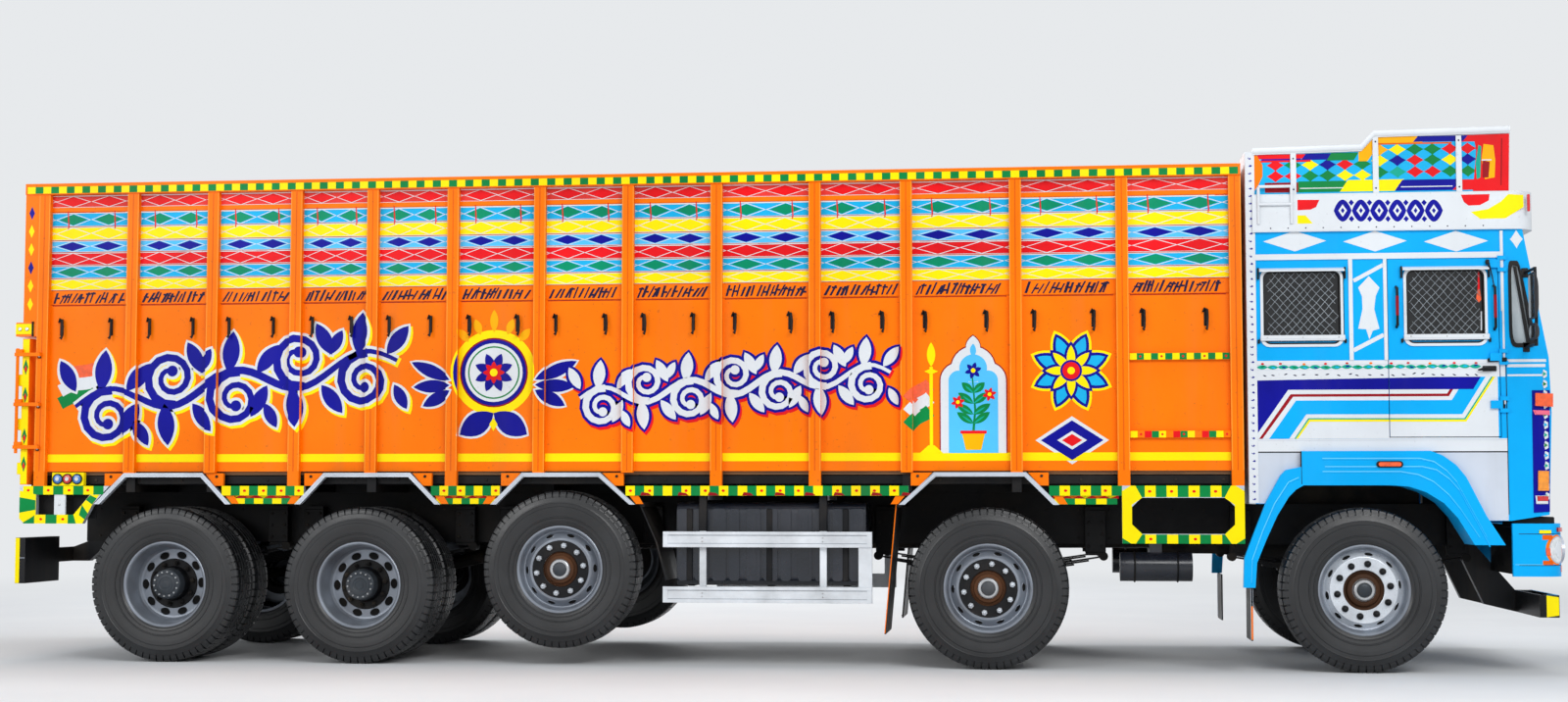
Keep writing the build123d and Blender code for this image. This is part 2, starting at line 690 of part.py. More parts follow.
# Under-run bars: open channels at the front corners, boxes at the rear ones with a tube between
UNDERRUN_Y = (RAIL_OUTER - 60, RAIL_OUTER)
FRONT_BAR_X = (4942, 5061)
FRONT_BAR_Z = (352, 493)
FRONT_BAR_REACH = 1130
CHANNEL_WALL = 18
REAR_BAR_X = (REAR_X, -5048)
REAR_BAR_Z = (520, 830)
REAR_BAR_Y = (660, 1180)
REAR_TUBE_X = (-5100, -5050)
REAR_TUBE_Z = (650, 750)
with BuildPart() as underrun_bars:
    for side in (-1, 1):
        bracket_y = (side * UNDERRUN_Y[0], side * UNDERRUN_Y[1])
        block(FRONT_BAR_X, (side * UNDERRUN_Y[0], side * FRONT_BAR_REACH), FRONT_BAR_Z)
        block(
            (FRONT_BAR_X[0] + CHANNEL_WALL, FRONT_BAR_X[1] - CHANNEL_WALL),
            (side * (UNDERRUN_Y[1] + CHANNEL_WALL), side * (FRONT_BAR_REACH - CHANNEL_WALL)),
            (FRONT_BAR_Z[0] + CHANNEL_WALL, FRONT_BAR_Z[1]),
            mode=Mode.SUBTRACT,
        )
        profile_plate((
            (FRONT_BAR_X[0], FRONT_BAR_Z[0]),
            (FRONT_BAR_X[0], FRONT_BAR_Z[1]),
            (4690, RAIL_BOTTOM),
            (4560, RAIL_BOTTOM),
            (4740, 400),
        ), bracket_y)
        block(REAR_BAR_X, (side * REAR_BAR_Y[0], side * REAR_BAR_Y[1]), REAR_BAR_Z)
        profile_plate((
            (REAR_TUBE_X[1], REAR_TUBE_Z[0]),
            (REAR_TUBE_X[1], REAR_TUBE_Z[1]),
            (-4940, RAIL_BOTTOM),
            (-4780, RAIL_BOTTOM),
            (-4930, REAR_TUBE_Z[0]),
        ), bracket_y)
    block(REAR_TUBE_X, (-REAR_BAR_Y[0], REAR_BAR_Y[0]), REAR_TUBE_Z)
save(underrun_bars, "underrun_bars")

# Front bumper: a bowed shell with returns along the sides
BUMPER_FRONT_X = 5080
BUMPER_REAR_X = 4763
BUMPER_Z = (612, 943)
BUMPER_Y = 1238
BUMPER_WALL = 34
BUMPER_CORNER = 130
with BuildPart() as front_bumper:
    with BuildSketch(Plane.XY.offset(BUMPER_Z[0])):
        with Locations((middle((BUMPER_REAR_X, BUMPER_FRONT_X)), 0)):
            shell = Rectangle(BUMPER_FRONT_X - BUMPER_REAR_X, 2 * BUMPER_Y)
        fillet(shell.vertices().group_by(Axis.X)[-1], BUMPER_CORNER)
        offset(amount=-BUMPER_WALL, mode=Mode.SUBTRACT)
        with Locations((BUMPER_REAR_X, 0)):
            Rectangle(2 * BUMPER_WALL, 2 * (BUMPER_Y - BUMPER_WALL), mode=Mode.SUBTRACT)
    extrude(amount=BUMPER_Z[1] - BUMPER_Z[0])
    for side in (-1, 1):
        block(
            (RAIL_FRONT_X, BUMPER_FRONT_X - BUMPER_WALL),
            (side * (RAIL_OUTER - 60), side * RAIL_OUTER),
            (RAIL_BOTTOM + 10, BUMPER_Z[1] - 20),
        )
save(front_bumper, "front_bumper")

# Lamps: head lamps in the bumper, side lamp plates at the rear, tail lamps under the sill
HEADLAMP_Y = 955
HEADLAMP_HALF = (150, 92)
LAMP_PLATE_X = (-4838, -4613)
LAMP_PLATE_TOP = 1272
TAIL_LAMP_X = (BODY_REAR_X + 62, BODY_REAR_X + 110)
TAIL_LAMP_Y = (640, 1100)
TAIL_LAMP_Z = (1040, 1140)
with BuildPart() as lamps:
    for side in (-1, 1):
        with BuildSketch(Plane.YZ.offset(BUMPER_FRONT_X)):
            with Locations((side * HEADLAMP_Y, middle(BUMPER_Z))):
                Ellipse(*HEADLAMP_HALF)
        extrude(amount=FRONT_X - BUMPER_FRONT_X)
        block(
            LAMP_PLATE_X,
            (side * BODY_PANEL_Y, side * BODY_OUTER_Y),
            (RUB_RAIL_TOP, LAMP_PLATE_TOP),
        )
        block(TAIL_LAMP_X, (side * TAIL_LAMP_Y[0], side * TAIL_LAMP_Y[1]), TAIL_LAMP_Z)
save(lamps, "lamps")

# Cab floor over the engine, with its tunnel's top
with BuildPart() as cab_floor:
    block(
        (CAB_REAR_X + CAB_WALL, 4950),
        (-CAB_INNER_Y, CAB_INNER_Y),
        (CAB_FLOOR_TOP - CAB_FLOOR_THICKNESS, CAB_FLOOR_TOP),
    )
    for side in (-1, 1):
        for x in (3350, 4550):
            block(
                (x - 60, x + 60),
                (side * (RAIL_OUTER - RAIL_FLANGE), side * RAIL_OUTER),
                (RAIL_TOP, CAB_FLOOR_TOP - CAB_FLOOR_THICKNESS - GAP),
            )
save(cab_floor, "cab_floor")

# Cab back wall, which rises above the roof to shield the carrier
with BuildPart() as cab_back:
    block(
        (CAB_REAR_X, CAB_REAR_X + CAB_WALL),
        (-CAB_OUTER_Y, CAB_OUTER_Y),
        (CAB_SKIRT_BOTTOM, CAB_CORNER_TOP),
    )
save(cab_back, "cab_back")

# Cab front outline, side view: from the bottom up
FRONT_LOW = (4991, 998)
FRONT_KNEE = (5017, 1644)
FRONT_BELT = (5007, BELT_Z)
FRONT_TOP = (4862, ROOF_EDGE_Z)
FRONT_WALL = 48
# front side window in side view: x, z
QUARTER_LIGHT = ((4784, 2577), (4784, 2070), (4912, 2070), (4836, 2577))
for side_name, side in SIDES:
    wall_y = (side * CAB_INNER_Y, side * CAB_OUTER_Y)
    hollow_y = (side * (CAB_INNER_Y - 10), side * (CAB_OUTER_Y + 10))
    with BuildPart() as cab_side:
        profile_plate((
            (CAB_REAR_X + CAB_WALL, CAB_SKIRT_BOTTOM),
            (3240, CAB_SKIRT_BOTTOM),
            (3410, 1200),
            (4330, 1200),
            (4540, 960),
            (4760, 960),
            FRONT_LOW,
            FRONT_KNEE,
            FRONT_BELT,
            FRONT_TOP,
            (CAB_REAR_X + CAB_WALL, ROOF_EDGE_Z),
        ), wall_y)
        block(WINDOW_REAR_X, hollow_y, WINDOW_Z, mode=Mode.SUBTRACT)
        block(
            (DOOR_X[0] - DOOR_GAP, DOOR_X[1] + DOOR_GAP),
            hollow_y,
            (DOOR_Z[0] - DOOR_GAP, DOOR_Z[1] + DOOR_GAP),
            mode=Mode.SUBTRACT,
        )
        profile_plate(QUARTER_LIGHT, hollow_y, mode=Mode.SUBTRACT)
        for z in DOOR_HINGES:
            for up in (-1, 1):
                near = z + up * (DOOR_KNUCKLE / 2 + GAP)
                far = z + up * DOOR_KNUCKLE
                with Locations((DOOR_HINGE_X, side * DOOR_HINGE_Y, middle((near, far)))):
                    Cylinder(DOOR_PIN, abs(far - near))
                block(
                    (DOOR_HINGE_X, DOOR_HINGE_X + 46),
                    (side * CAB_OUTER_Y, side * (DOOR_HINGE_Y + 6)),
                    (near, far),
                )
    save(cab_side, f"cab_side_{side_name}")

    # Cab door, hung at its front edge, with its window cut through
    with BuildPart() as cab_door:
        block(DOOR_X, wall_y, DOOR_Z)
        block(WINDOW_DOOR_X, hollow_y, WINDOW_Z, mode=Mode.SUBTRACT)
        for z in DOOR_HINGES:
            with Locations((DOOR_HINGE_X, side * DOOR_HINGE_Y, z)):
                Cylinder(DOOR_PIN, DOOR_KNUCKLE)
            block(
                (DOOR_X[1] - 60, DOOR_HINGE_X),
                (side * CAB_OUTER_Y, side * (DOOR_HINGE_Y + 6)),
                (z - DOOR_KNUCKLE / 2, z + DOOR_KNUCKLE / 2),
            )
    save(cab_door, f"cab_door_{side_name}")

    with BuildPart() as door_glass:
        glass_y = side * (CAB_OUTER_Y - 16)
        block(WINDOW_DOOR_X, (glass_y, glass_y - side * GLASS_THICKNESS), WINDOW_Z)
    save(door_glass, f"door_glass_{side_name}")

# Cab front: wall folded at the knee and belt, windscreen openings and grille
SCREEN_Z = (2085, 2700)
SCREEN_Y = (40, 1090)
GRILLE_Z = (1130, 1600)
GRILLE_Y = 640
GRILLE_BARS = 7
with BuildPart() as cab_front:
    profile_plate((
        FRONT_LOW,
        FRONT_KNEE,
        FRONT_BELT,
        FRONT_TOP,
        (FRONT_TOP[0] - FRONT_WALL, FRONT_TOP[1]),
        (FRONT_BELT[0] - FRONT_WALL, FRONT_BELT[1]),
        (FRONT_KNEE[0] - FRONT_WALL, FRONT_KNEE[1]),
        (FRONT_LOW[0] - FRONT_WALL, FRONT_LOW[1]),
    ), (-CAB_INNER_Y, CAB_INNER_Y))
    for side in (-1, 1):
        block((4700, 5100), (side * SCREEN_Y[0], side * SCREEN_Y[1]), SCREEN_Z, mode=Mode.SUBTRACT)
    block((4700, 5100), (-GRILLE_Y, GRILLE_Y), GRILLE_Z, mode=Mode.SUBTRACT)
    pitch = (GRILLE_Z[1] - GRILLE_Z[0]) / GRILLE_BARS
    for index in range(GRILLE_BARS):
        z = GRILLE_Z[0] + pitch * (index + 0.5)
        block((4962, 4992), (-GRILLE_Y, GRILLE_Y), (z - 16, z + 16))
save(cab_front, "cab_front")

# Fixed glass: two screen panes, rear side windows and quarter lights
lean = (FRONT_BELT[0] - FRONT_TOP[0]) / (FRONT_TOP[1] - FRONT_BELT[1])


def front_x(z):
    """x of the cab's outer front face above the belt."""
    return FRONT_BELT[0] - lean * (z - FRONT_BELT[1])


with BuildPart() as cab_glass:
    inset = 20
    for side in (-1, 1):
        profile_plate((
            (front_x(SCREEN_Z[0]) - inset, SCREEN_Z[0]),
            (front_x(SCREEN_Z[1]) - inset, SCREEN_Z[1]),
            (front_x(SCREEN_Z[1]) - inset - GLASS_THICKNESS, SCREEN_Z[1]),
            (front_x(SCREEN_Z[0]) - inset - GLASS_THICKNESS, SCREEN_Z[0]),
        ), (side * SCREEN_Y[0], side * SCREEN_Y[1]))
        glass_y = (side * (CAB_OUTER_Y - 16), side * (CAB_OUTER_Y - 16 - GLASS_THICKNESS))
        block(WINDOW_REAR_X, glass_y, WINDOW_Z)
        profile_plate(QUARTER_LIGHT, glass_y)
save(cab_glass, "cab_glass")

# Roof: a slab inside the fascia band, rounded at the front corners
FASCIA_FRONT_X = 4946
FASCIA_CORNER = 150
FASCIA_WALL = 50
FASCIA_BOTTOM = ROOF_EDGE_Z
FASCIA_TOP = 3040
FASCIA_Y = CAB_OUTER_Y + 22
ROOF_THICKNESS = 45
with BuildPart() as cab_roof:
    fascia_x = (CAB_REAR_X + CAB_WALL, FASCIA_FRONT_X)
    with BuildSketch(Plane.XY.offset(FASCIA_BOTTOM)) as band:
        with Locations((middle(fascia_x), 0)):
            Rectangle(fascia_x[1] - fascia_x[0], 2 * FASCIA_Y)
        fillet(band.vertices().group_by(Axis.X)[-1], FASCIA_CORNER)
    extrude(amount=FASCIA_TOP - FASCIA_BOTTOM)
    extrude(
        offset(band.sketch, amount=-FASCIA_WALL, mode=Mode.PRIVATE),
        amount=FASCIA_TOP - FASCIA_BOTTOM - ROOF_THICKNESS,
        mode=Mode.SUBTRACT,
    )
save(cab_roof, "cab_roof")

# Roof carrier: side walls with a stepped top rail, a front wall and uprights
CARRIER_WALL = 22
carrier_base = FASCIA_TOP
CARRIER_RAIL = 44
# top rail's side view: x, z
CARRIER_TOP = ((3194, 3343), (3876, 3356), (3957, 3443), (4800, 3456))
CARRIER_POSTS = (3449, 3964, 4480)
CARRIER_POST_WIDTH = 36
CARRIER_POST_TOP = 3320
CARRIER_FRONT_X = (4763, 4785)
CARRIER_FRONT_TOP = 3456
with BuildPart() as roof_carrier:
    for side in (-1, 1):
        wall_y = (side * (CAB_OUTER_Y - CARRIER_WALL), side * CAB_OUTER_Y)
        profile_plate(
            ((3194, carrier_base), *CARRIER_TOP, (4785, carrier_base)), wall_y
        )
        rail_y = (side * (CAB_OUTER_Y - CARRIER_RAIL), side * (CAB_OUTER_Y + 12))
        profile_plate((
            *CARRIER_TOP,
            *((x, z - CARRIER_RAIL) for x, z in reversed(CARRIER_TOP)),
        ), rail_y)
        for x in CARRIER_POSTS:
            block(
                (x - CARRIER_POST_WIDTH / 2, x + CARRIER_POST_WIDTH / 2),
                (side * CAB_OUTER_Y, side * (CAB_OUTER_Y + 12)),
                (carrier_base, CARRIER_POST_TOP),
            )
    front_rail_z = CARRIER_FRONT_TOP - CARRIER_RAIL
    block(CARRIER_FRONT_X, (-CAB_OUTER_Y, CAB_OUTER_Y), (carrier_base, front_rail_z))
    block((4756, 4800), (-CAB_OUTER_Y, CAB_OUTER_Y), (front_rail_z, CARRIER_FRONT_TOP))
save(roof_carrier, "roof_carrier")

# Fenders: a deep face over the wheel and a lining behind it
# side-view outlines from the rear foot, over the top, to the front foot
FENDER_OUTSIDE = (
    (3098, 536), (3105, 721), (3180, 915), (3248, 1084), (3337, 1245), (3370, 1280),
    (3469, 1300), (3469, 1399), (4266, 1399), (4340, 1370), (4420, 1310), (4480, 1235),
    (4600, 990), (4712, 809),
)
FENDER_INSIDE = (
    (4524, 809), (4424, 978), (4341, 1071), (4232, 1140), (4129, 1175), (4025, 1183),
    (3481, 1183), (3434, 1157), (3387, 1110), (3313, 990), (3245, 842), (3184, 694), (3172, 536),
)
with BuildPart() as fenders:
    for side in (-1, 1):
        profile_plate((*FENDER_OUTSIDE, *FENDER_INSIDE), (side * CAB_OUTER_Y, side * FENDER_OUTER_Y))
        lining = tuple(FENDER_INSIDE[:-1])
        raised = tuple((x + LINING_THICKNESS * (1 if x > 3856 else -1) * 0.8, z + LINING_THICKNESS) for x, z in lining)
        profile_plate((*lining, *reversed(raised)), (side * FENDER_LINING_Y, side * CAB_OUTER_Y))
save(fenders, "fenders")

# Mirrors on tubular arms at the front pillars: a tall head and a low one on a post
MIRROR_X = (4848, 4888)
MIRROR_Y = (1420, 1600)
MIRROR_HEADS = ((2204, 2496), (2076, 2180))
MIRROR_ARMS = (2050, 2520)
MIRROR_TUBE = 22
with BuildPart() as mirrors:
    tube_x = (middle(MIRROR_X) - MIRROR_TUBE / 2 + 5, middle(MIRROR_X) + MIRROR_TUBE / 2 + 5)
    for side in (-1, 1):
        head_y = (side * MIRROR_Y[0], side * MIRROR_Y[1])
        tube_y = (side * (middle(MIRROR_Y) - MIRROR_TUBE / 2), side * (middle(MIRROR_Y) + MIRROR_TUBE / 2))
        for head in MIRROR_HEADS:
            block(MIRROR_X, head_y, head)
        for z in MIRROR_ARMS:
            block(tube_x, (side * CAB_OUTER_Y, max(tube_y, key=abs)), (z - MIRROR_TUBE / 2, z + MIRROR_TUBE / 2))
        block(tube_x, tube_y, (MIRROR_ARMS[0], MIRROR_HEADS[1][0]))
        block(tube_x, tube_y, (MIRROR_HEADS[1][1], MIRROR_HEADS[0][0]))
        block(tube_x, tube_y, (MIRROR_HEADS[0][1], MIRROR_ARMS[1]))
save(mirrors, "mirrors")

# Cab inside: dashboard, wheel and seats
with BuildPart() as dashboard:
    profile_plate((
        (4700, 1640),
        (4700, 1900),
        (4790, 1990),
        (4940, 1990),
        (4955, CAB_FLOOR_TOP),
        (4860, CAB_FLOOR_TOP),
    ), (-CAB_INNER_Y + 5, CAB_INNER_Y - 5))
save(dashboard, "dashboard")

WHEEL_Y = -620
WHEEL_TILT = 13
with BuildPart() as steering_wheel:
    with Locations(Location((4540, WHEEL_Y, 2010), (0, -WHEEL_TILT, 0))):
        Cylinder(60, 30)
        Box(450, 36, 14)
        Box(36, 450, 14)
        with Locations((0, 0, -350)):
            Cylinder(28, 700)
    split(bisect_by=Plane.XY.offset(CAB_FLOOR_TOP), keep=Keep.TOP)
    with BuildSketch(Plane(Location((4540, WHEEL_Y, 2010), (0, -WHEEL_TILT, 0)))) as grip:
        RegularPolygon(240, 20)
        RegularPolygon(210, 20, mode=Mode.SUBTRACT)
    extrude(grip.sketch, amount=13, both=True)
save(steering_wheel, "steering_wheel")

SEAT_Y = 620
SEAT_WIDTH = 520
SEAT_X = (3850, 4330)
SEAT_Z = (1700, 1830)
PEDESTAL_X = (3900, 4280)
PEDESTAL_WIDTH = 400
BACK_WIDTH = 500
# side view of a seat back: x, z
SEAT_BACK = ((3780, SEAT_Z[1]), (3930, SEAT_Z[1]), (3850, 2420), (3720, 2420))
BENCH_FRONT_X = 3650
BENCH_TOP = 1900
BENCH_REACH = 1150
with BuildPart() as seats:
    for y in (-SEAT_Y, SEAT_Y):
        block(SEAT_X, (y - SEAT_WIDTH / 2, y + SEAT_WIDTH / 2), SEAT_Z)
        block(PEDESTAL_X, (y - PEDESTAL_WIDTH / 2, y + PEDESTAL_WIDTH / 2), (CAB_FLOOR_TOP, SEAT_Z[0]))
        profile_plate(SEAT_BACK, (y - BACK_WIDTH / 2, y + BACK_WIDTH / 2))
    block((CAB_REAR_X + CAB_WALL, BENCH_FRONT_X), (-BENCH_REACH, BENCH_REACH), (CAB_FLOOR_TOP, BENCH_TOP))
save(seats, "seats")
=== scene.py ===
import bpy
import math
import random
from functools import partial
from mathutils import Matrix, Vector


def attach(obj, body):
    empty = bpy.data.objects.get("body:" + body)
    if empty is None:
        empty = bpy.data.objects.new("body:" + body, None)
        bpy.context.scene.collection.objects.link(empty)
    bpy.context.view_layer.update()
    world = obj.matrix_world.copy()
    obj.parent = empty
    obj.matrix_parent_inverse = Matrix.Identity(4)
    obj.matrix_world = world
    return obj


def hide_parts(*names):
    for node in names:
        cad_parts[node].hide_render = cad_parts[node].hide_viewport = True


# Looks of the decorated truck, in metres, in the frame's own axes.
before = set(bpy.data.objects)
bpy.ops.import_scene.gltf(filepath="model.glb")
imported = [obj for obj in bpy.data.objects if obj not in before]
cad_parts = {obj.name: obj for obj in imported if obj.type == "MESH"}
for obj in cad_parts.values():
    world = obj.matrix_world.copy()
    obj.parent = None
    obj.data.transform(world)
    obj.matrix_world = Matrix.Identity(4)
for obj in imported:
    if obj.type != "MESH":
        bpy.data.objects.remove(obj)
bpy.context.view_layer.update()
dice = random.Random(11)
SIDES = (("right", -1), ("left", 1))
link = bpy.context.scene.collection.objects.link

# Outer surfaces that paint and trim lie on: _Y outwards from the middle plane, _X along the truck
PANEL_Y, POST_Y, CAB_Y, FENDER_Y = 1.202, 1.245, 1.235, 1.281
GUSSET_Y, SCALLOP_Y, RUB_RAIL_Y, ARCH_LEG_Y = 1.226, 1.222, 1.232, 1.236
RUNG_Y, FLAP_Y, LADDER_Y, TOP_RAIL_Y, DOOR_POST_Y = 1.228, 1.190, 1.247, 1.255, 1.2445
BUMPER_Y, FRONT_GUARD_Y, REAR_GUARD_Y = 1.238, 1.130, 1.180
FRONT_GUARD_X, BAND_FRONT_X, CARRIER_FRONT_X = 5.061, 4.946, 4.785
DOOR_FACE_X, DOOR_BACK_X = -5.052, -5.028

# Camera
PICTURE = (1600, 716)
SENSOR, LENS = 36, 49.70
VIEW_AT = Vector((1.803, -15.29, 1.143))
view = bpy.data.cameras.new("camera")
view.lens, view.sensor_width, view.sensor_fit = LENS, SENSOR, "HORIZONTAL"
view.clip_end = 500
camera = bpy.data.objects.new("camera", view)
camera.location = VIEW_AT
camera.rotation_euler = (math.pi / 2 + math.radians(3.715), 0, math.radians(6.65))
link(camera)
bpy.context.scene.camera = camera


def seen(px, py, y=-PANEL_Y):
    """(x, z) where the line of sight through a pixel meets the plane at y."""
    ray = Vector((px - PICTURE[0] / 2, PICTURE[1] / 2 - py, -LENS / SENSOR * PICTURE[0]))
    aim = camera.rotation_euler.to_matrix() @ ray
    spot = VIEW_AT + aim * ((y - VIEW_AT.y) / aim.y)
    return spot.x, spot.z


def all_seen(pixels, y=-CAB_Y):
    return [seen(u, v, y) for u, v in pixels]


# Pixels that place painted forms
MEDAL_AT, LOTUS_AT, PLAQUE_AT = (504, 380), (1093, 378), (1094, 449)
PENNANTS = (((62, 380), (97, 368), 0.012), ((927, 402), (949, 384), 0.010))
SPIRE_AT, NICHE_AT = (950.5, 462), (993.5, 462)
FENDER_LAMP_AT, BAND_LAMP_AT = (1418, 473.5), (1559.5, 207)
DIAGONALS = (([(1381, 286.5), (1411.5, 270)], 0.024), ([(1381, 357.5), (1412, 341.5)], 0.026))
WINDOW_LOZENGES = ((1321, 246), (1403, 246), (1485.6, 246))
CORNER_PANEL = [(1563, 398), (1581, 398), (1581.5, 522), (1565, 523)]
BAND_LEAVES, BAND_LEAF_STEP = (1370, 214.8), 18.6


# Finishes
def linear(code):
    """Linear colour of a hex code."""
    parts = [int(code[i : i + 2], 16) / 255 for i in (0, 2, 4)]
    return tuple(c / 12.92 if c <= 0.04045 else ((c + 0.055) / 1.055) ** 2.4 for c in parts) + (1.0,)


def shade(code, level):
    """A hex code made darker or lighter."""
    parts = [min(255, round(int(code[i : i + 2], 16) * level)) for i in (0, 2, 4)]
    return "%02X%02X%02X" % tuple(parts)


class Finish:
    """A material built around one shader, textured by the object's own coordinates."""

    def __init__(self, name, **sockets):
        self.made = bpy.data.materials.new(name)
        self.made.use_nodes = True
        self.tree = self.made.node_tree
        self.shader = self.tree.nodes["Principled BSDF"]
        for key, value in sockets.items():
            self.shader.inputs[key.replace("_", " ")].default_value = value
        self.place = self.tree.nodes.new("ShaderNodeTexCoord").outputs["Object"]

    def node(self, kind, outlet, **inlets):
        made = self.tree.nodes.new(kind)
        for key, value in inlets.items():
            socket = made.inputs[key.replace("_", " ")]
            if isinstance(value, bpy.types.NodeSocket):
                self.tree.links.new(value, socket)
            else:
                socket.default_value = value
        return made.outputs[outlet]

    def noise(self, scale, detail=3, stretch=(1, 1, 1), rough=0.55):
        spot = self.node("ShaderNodeMapping", "Vector", Vector=self.place, Scale=stretch)
        return self.node(
            "ShaderNodeTexNoise", "Fac", Vector=spot, Scale=scale, Detail=detail, Roughness=rough
        )

    def waves(self, scale, direction, twist=1.5):
        made = self.tree.nodes.new("ShaderNodeTexWave")
        made.bands_direction = direction
        self.tree.links.new(self.place, made.inputs["Vector"])
        made.inputs["Scale"].default_value = scale
        made.inputs["Distortion"].default_value = twist
        made.inputs["Detail"].default_value = 3
        return made.outputs["Fac"]

    def span(self, value, low, high, start=0.0, end=1.0):
        made = self.tree.nodes.new("ShaderNodeMapRange")
        self.tree.links.new(value, made.inputs["Value"])
        for key, number in (("From Min", low), ("From Max", high), ("To Min", start), ("To Max", end)):
            made.inputs[key].default_value = number
        return made.outputs["Result"]

    def mix(self, factor, under, over):
        made = self.tree.nodes.new("ShaderNodeMix")
        made.data_type = "RGBA"
        self.tree.links.new(factor, made.inputs[0])
        for socket, colour in ((made.inputs[6], under), (made.inputs[7], over)):
            if isinstance(colour, str):
                socket.default_value = linear(colour)
            else:
                self.tree.links.new(colour, socket)
        return made.outputs[2]

    def colour(self, outlet):
        self.tree.links.new(outlet, self.shader.inputs["Base Color"])

    def gloss(self, outlet):
        self.tree.links.new(outlet, self.shader.inputs["Roughness"])

    def bump(self, height, strength, distance=0.002):
        made = self.tree.nodes.new("ShaderNodeBump")
        made.inputs["Strength"].default_value = strength
        made.inputs["Distance"].default_value = distance
        self.tree.links.new(height, made.inputs["Height"])
        self.tree.links.new(made.outputs["Normal"], self.shader.inputs["Normal"])


def enamel(name, code, roughness=0.34, runs=0.10, chips=0.0, coat=0.03, peel=0.10, vary=0.07):
    """Hand-applied gloss paint: uneven tone, faint dirt runs, chips and brush texture."""
    f = Finish(name, Coat_Weight=coat, Coat_Roughness=0.2, Specular_IOR_Level=0.1)
    cloud = f.noise(1.4, 5)
    tone = f.mix(f.span(cloud, 0.32, 0.68), shade(code, 1 - vary), shade(code, 1 + vary * 0.6))
    stain = f.noise(5, 6, (1, 1, 0.07))
    tone = f.mix(f.span(stain, 0.52, 0.80, 0, runs), tone, "7C6A52")
    if chips:
        tone = f.mix(f.span(f.noise(42, 6), 0.655, 0.69, 0, chips), tone, "3E352E")
    f.colour(tone)
    f.gloss(f.span(stain, 0.35, 0.75, roughness - 0.05, roughness + 0.16))
    f.bump(f.noise(95, 4, (1, 1, 0.5)), peel)
    return f.made


def dusty(name, code, roughness=0.55, dust=0.35, metallic=0.0, grain=70, rise=0.18, dirt="8B7B66",
          sheen=0.2):
    """Dark working surface with dust in its hollows."""
    f = Finish(name, Metallic=metallic, Specular_IOR_Level=sheen)
    cloud = f.noise(3.2, 7)
    fine = f.noise(grain, 5)
    tone = f.mix(f.span(cloud, 0.3, 0.75), shade(code, 0.8), shade(code, 1.25))
    tone = f.mix(f.span(cloud, 0.48, 0.85, 0, dust), tone, dirt)
    f.colour(tone)
    f.gloss(f.span(cloud, 0.3, 0.8, roughness - 0.1, roughness + 0.2))
    f.bump(fine, rise)
    return f.made


def metal(name, code, roughness=0.3, grain=(1, 1, 22), stains=0.15, metallic=0.85):
    """Bare or silver-painted metal with brushed grain and dull patches."""
    f = Finish(name, Metallic=metallic)
    cloud = f.noise(4, 6)
    brushed = f.noise(24, 4, grain)
    tone = f.mix(f.span(cloud, 0.35, 0.75), code, shade(code, 0.82))
    tone = f.mix(f.span(cloud, 0.55, 0.85, 0, stains), tone, "6E6256")
    f.colour(tone)
    f.gloss(f.span(brushed, 0.3, 0.7, roughness - 0.06, roughness + 0.14))
    f.bump(brushed, 0.05)
    return f.made


def lens(name, code, ribs=120, glow=0.0):
    """Coloured lamp lens with moulded ribs."""
    f = Finish(name, Roughness=0.12, Coat_Weight=1.0, Coat_Roughness=0.04, IOR=1.49)
    cut = f.waves(ribs, "X", 0.0)
    f.colour(f.mix(f.span(f.noise(30, 3), 0.3, 0.7), shade(code, 0.85), code))
    f.bump(cut, 0.25, 0.0015)
    if glow:
        f.shader.inputs["Emission Color"].default_value = linear(code)
        f.shader.inputs["Emission Strength"].default_value = glow
    return f.made


ORANGE = enamel("body_orange", "FF7800", runs=0.16, chips=0.25, vary=0.06)
# lighter copy of the body orange, for painted highlights along the posts' edges
ORANGE_PAINTED_HIGHLIGHT = enamel("body_orange_painted_highlight", "FF9430", runs=0.1, vary=0.05)
ORANGE_DEEP = enamel("body_orange_deep", "E25C06", runs=0.2, chips=0.3)
NAVY = enamel("navy", "080A8E", runs=0.05, vary=0.12)
WHITE = enamel("white", "D8DDE1", runs=0.08, chips=0.12, vary=0.03)
YELLOW = enamel("yellow", "FFE400", runs=0.1, vary=0.05)
GREEN = enamel("green", "05813F", runs=0.08, vary=0.12)
PINE = enamel("pine_green", "008A62", runs=0.08, vary=0.12)
TEAL = enamel("teal", "11A58C", runs=0.08)
CYAN = enamel("cyan", "18AEE4", runs=0.08)
SKY = enamel("sky", "52BDF2", runs=0.08)
RED = enamel("red", "E2141C", runs=0.08, vary=0.1)
CRIMSON = enamel("crimson", "93101C", runs=0.06)
ROSE = enamel("rose", "DE3A34", runs=0.14, chips=0.3, vary=0.12)
AMBER = enamel("amber", "FFB000", runs=0.08)
PINK = enamel("pink", "F0708C", runs=0.05)
CAB_BLUE = enamel("cab_blue", "00A8EE", runs=0.04, coat=0.07, peel=0.05, vary=0.04)
# darker and lighter cab blue for lines along the fender's beads: painted shade and painted highlight
BEAD_PAINTED_SHADE = enamel("cab_blue_painted_shade", "0079BE", runs=0.04, vary=0.04)
BEAD_PAINTED_HIGHLIGHT = enamel("cab_blue_painted_highlight", "6AD2FF", runs=0.04, vary=0.04)
PALE = enamel("pale_grey", "C6CDD8", runs=0.16, vary=0.05, roughness=0.42)
INK = enamel("ink", "1D1B3C", runs=0.05)
BLACK = dusty("black_iron", "101114", 0.42, 0.08)
CHASSIS = dusty("chassis_black", "0C0D0F", 0.5, 0.10)
DARK_GREY = dusty("dark_grey_iron", "3A3E44", 0.45, 0.2, 0.4)
CAST = dusty("cast_iron", "1E1D1C", 0.6, 0.3, 0.3, 55, 0.4)
RUST = dusty("rusty_iron", "4A2F1E", 0.7, 0.35, 0.2, 60, 0.5, "6B4526")
TANK = dusty("tank_coat", "161C26", 0.25, 0.06, sheen=0.6)
